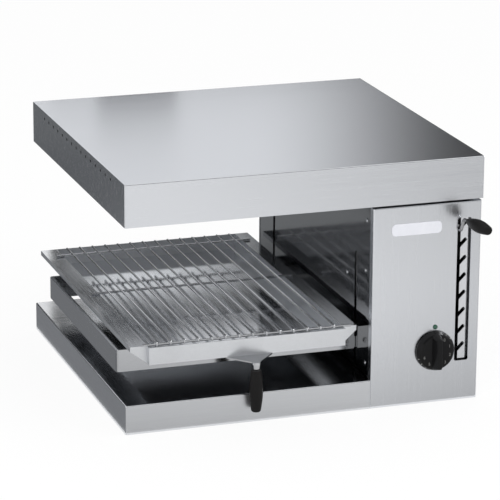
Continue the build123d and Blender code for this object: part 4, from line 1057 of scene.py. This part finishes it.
class MELTER_OT_studio(Operator):
    """Set up the floor, the soft light, the cards and the camera"""

    bl_idname = "melter.studio"
    bl_label = "Studio"

    def execute(self, context):
        self.add_camera()
        self.add_world(context.scene.melter_studio)
        self.add_floor(context.scene.melter_studio)
        self.add_light(context.scene.melter_studio)
        context.scene.view_settings.view_transform = "Standard"
        return {"FINISHED"}

    def add_camera(self):
        lens, distance = 207.14, 4.51784
        azimuth, elevation, roll = (math.radians(angle) for angle in (-18.67, 16.70, 0.40))
        target = Vector((-0.09589, -0.2825, 0.28765))
        level = math.cos(elevation)
        back = Vector((math.sin(azimuth) * level, -math.cos(azimuth) * level, math.sin(elevation)))
        right = Vector((math.cos(azimuth), math.sin(azimuth), 0.0))
        up = back.cross(right)
        level_x = right * math.cos(roll) + up * math.sin(roll)
        level_y = up * math.cos(roll) - right * math.sin(roll)
        data = bpy.data.cameras.new("camera")
        data.lens = lens
        data.sensor_width = 36.0
        data.sensor_fit = "HORIZONTAL"
        data.clip_end = 60.0
        camera = in_scene("camera", data)
        turn = Matrix((level_x, level_y, back)).transposed().to_4x4()
        camera.matrix_world = Matrix.Translation(target + back * distance) @ turn
        bpy.context.scene.camera = camera

    def add_world(self, studio):
        world = bpy.data.worlds.new("studio")
        bpy.context.scene.world = world
        world.use_nodes = True
        nodes, links = world.node_tree.nodes, world.node_tree.links
        sky = nodes["Background"]
        seen = seen_by_eye_and_gloss(nodes, links)
        links.new(shade_range(nodes, links, seen, studio.daylight, 1.0), sky.inputs["Strength"])
        sky.inputs["Color"].default_value = (1.0, 1.0, 1.0, 1.0)

    def add_floor(self, studio):
        mesh = bpy.data.meshes.new("floor")
        reach = 14.0
        signs = ((-1, -1), (1, -1), (1, 1), (-1, 1))
        mesh.from_pydata([(x * reach, y * reach, -0.0006) for x, y in signs], [], [(0, 1, 2, 3)])
        floor = in_scene("floor", mesh)
        paint = bpy.data.materials.new("Studio floor")
        paint.use_nodes = True
        nodes, links = paint.node_tree.nodes, paint.node_tree.links
        shader = nodes["Principled BSDF"]
        shader.inputs["Base Color"].default_value = (*studio.floor, 1.0)
        shader.inputs["Roughness"].default_value = 1.0
        shader.inputs["Specular IOR Level"].default_value = 0.0
        glow = nodes.new("ShaderNodeEmission")
        mix = nodes.new("ShaderNodeMixShader")
        seen = seen_by_eye_and_gloss(nodes, links)
        links.new(shade_range(nodes, links, seen, 0.0, 0.86), mix.inputs["Fac"])
        links.new(shader.outputs[0], mix.inputs[1])
        links.new(glow.outputs[0], mix.inputs[2])
        links.new(mix.outputs[0], nodes["Material Output"].inputs["Surface"])
        mesh.materials.append(paint)

    def add_light(self, studio):
        lamp("key lamp", (-1.6, -2.2, 2.6), (0.0, 0.0, 0.2), (1.8, 1.4), studio.key)
        lamp("fill lamp", (2.4, -1.2, 1.5), (0.1, 0.0, 0.2), (1.4, 1.4), studio.fill)
        self.add_left_cards()
        self.add_rear_cards()
        self.add_front_cards()

    # Cards show only in reflections. Their places and tones suit the camera's own view.
    def add_left_cards(self):
        floor_card("near left floor", (-0.75, -0.302), (-0.28, 0.75), (0.205, 0.21, 0.22))
        floor_card("far left floor", (-2.6, -0.302), (0.75, 1.49), (0.118, 0.123, 0.13))
        wall_card("left low", (-2.6, -0.05), 1.492, (0.0, 0.34), (0.15, 0.155, 0.16))
        wall_card("left flag", (-2.6, -0.05), 1.492, (0.34, 0.70), (0.03, 0.032, 0.035))

    def add_rear_cards(self):
        floor_card(
            "rear floor", (-0.30, 1.2), (0.29, 1.39), (0.34, 0.35, 0.36), (("Y", 0.34, 0.76, 0.05),)
        )
        wall_card("rear low", (0.22, 2.4), REAR_Y, (0.0, 0.47), (0.06, 0.06, 0.065))
        wall_card("rear band", (0.05, 2.4), REAR_Y, (0.47, 0.74), (0.05, 0.052, 0.055))
        wall_card(
            "rear strip",
            (0.04, 0.62),
            1.49,
            (0.44, 0.62),
            (0.96, 0.98, 1.0),
            (
                ("X", 0.03, 0.20, 0.06),
                ("X", 0.62, 0.30, 0.05),
                ("Z", 0.45, 0.53, 0.05),
                ("Z", 0.60, 0.54, 0.05),
            ),
        )
        wall_card("rear low left", (-0.05, 0.22), REAR_Y, (0.0, 0.37), (0.06, 0.06, 0.065))
        wall_card("lip shade", (0.15, 0.33), 1.488, (0.62, 0.75), (0.09, 0.094, 0.10))
        fades = (("X", 1.06, 0.50, 0.08), ("Z", 0.645, 0.70, 0.05))
        wall_card("rear sky", (-3.0, 3.0), 1.495, (0.65, 3.0), (0.87, 0.88, 0.90), fades)

    def add_front_cards(self):
        wall_card("room", (-3.5, 3.5), -3.6, (0.7, 4.0), (0.22, 0.22, 0.225))
        floor_card(
            "front floor",
            (-1.2, 2.0),
            (-2.4, -0.283),
            (1.0, 1.0, 1.0),
            (("Y", -0.283, -0.85, 0.60), ("X", 0.95, 0.13, 0.55), ("X", -0.30, 0.10, 0.88)),
        )
        corners = [(1.9, -1.3, 1.7), (2.5, -0.9, 1.7), (2.5, -0.9, 2.6), (1.9, -1.3, 2.6)]
        card("knob softbox", corners, (30.0, 30.0, 30.0))


# ------------------------------------------------------------------ panel and order
ORDER = (
    MELTER_OT_casings,
    MELTER_OT_heater,
    MELTER_OT_rack,
    MELTER_OT_lift,
    MELTER_OT_controls,
    MELTER_OT_blank_plate,
    MELTER_OT_dial,
    MELTER_OT_screw_recesses,
    MELTER_OT_vent_sleeves,
    MELTER_OT_weld_dabs,
    MELTER_OT_casing_screws,
    MELTER_OT_studio,
)


class MELTER_PT_sidebar(Panel):
    """Lists the melter's pieces, finishes and studio"""

    bl_idname = "MELTER_PT_sidebar"
    bl_label = "Cheese melter"
    bl_space_type = "VIEW_3D"
    bl_region_type = "UI"
    bl_category = "Cheese melter"

    def draw(self, context):
        column = self.layout.column()
        for operator in ORDER:
            column.operator(operator.bl_idname)
        scene = context.scene
        for group in (scene.melter_finishes, scene.melter_fittings, scene.melter_studio):
            box = self.layout.box()
            for name in group.__annotations__:
                box.prop(group, name)


CLASSES = (MelterFinishes, MelterFittings, MelterStudio, *ORDER, MELTER_PT_sidebar)


def register():
    for cls in CLASSES:
        bpy.utils.register_class(cls)
    bpy.types.Scene.melter_finishes = PointerProperty(type=MelterFinishes)
    bpy.types.Scene.melter_fittings = PointerProperty(type=MelterFittings)
    bpy.types.Scene.melter_studio = PointerProperty(type=MelterStudio)


def unregister():
    del bpy.types.Scene.melter_studio
    del bpy.types.Scene.melter_fittings
    del bpy.types.Scene.melter_finishes
    for cls in reversed(CLASSES):
        bpy.utils.unregister_class(cls)


def main():
    register()
    for operator in ORDER:
        area, name = operator.bl_idname.split(".")
        getattr(getattr(bpy.ops, area), name)()
    bpy.context.view_layer.update()


if __name__ == "__main__":
    main()
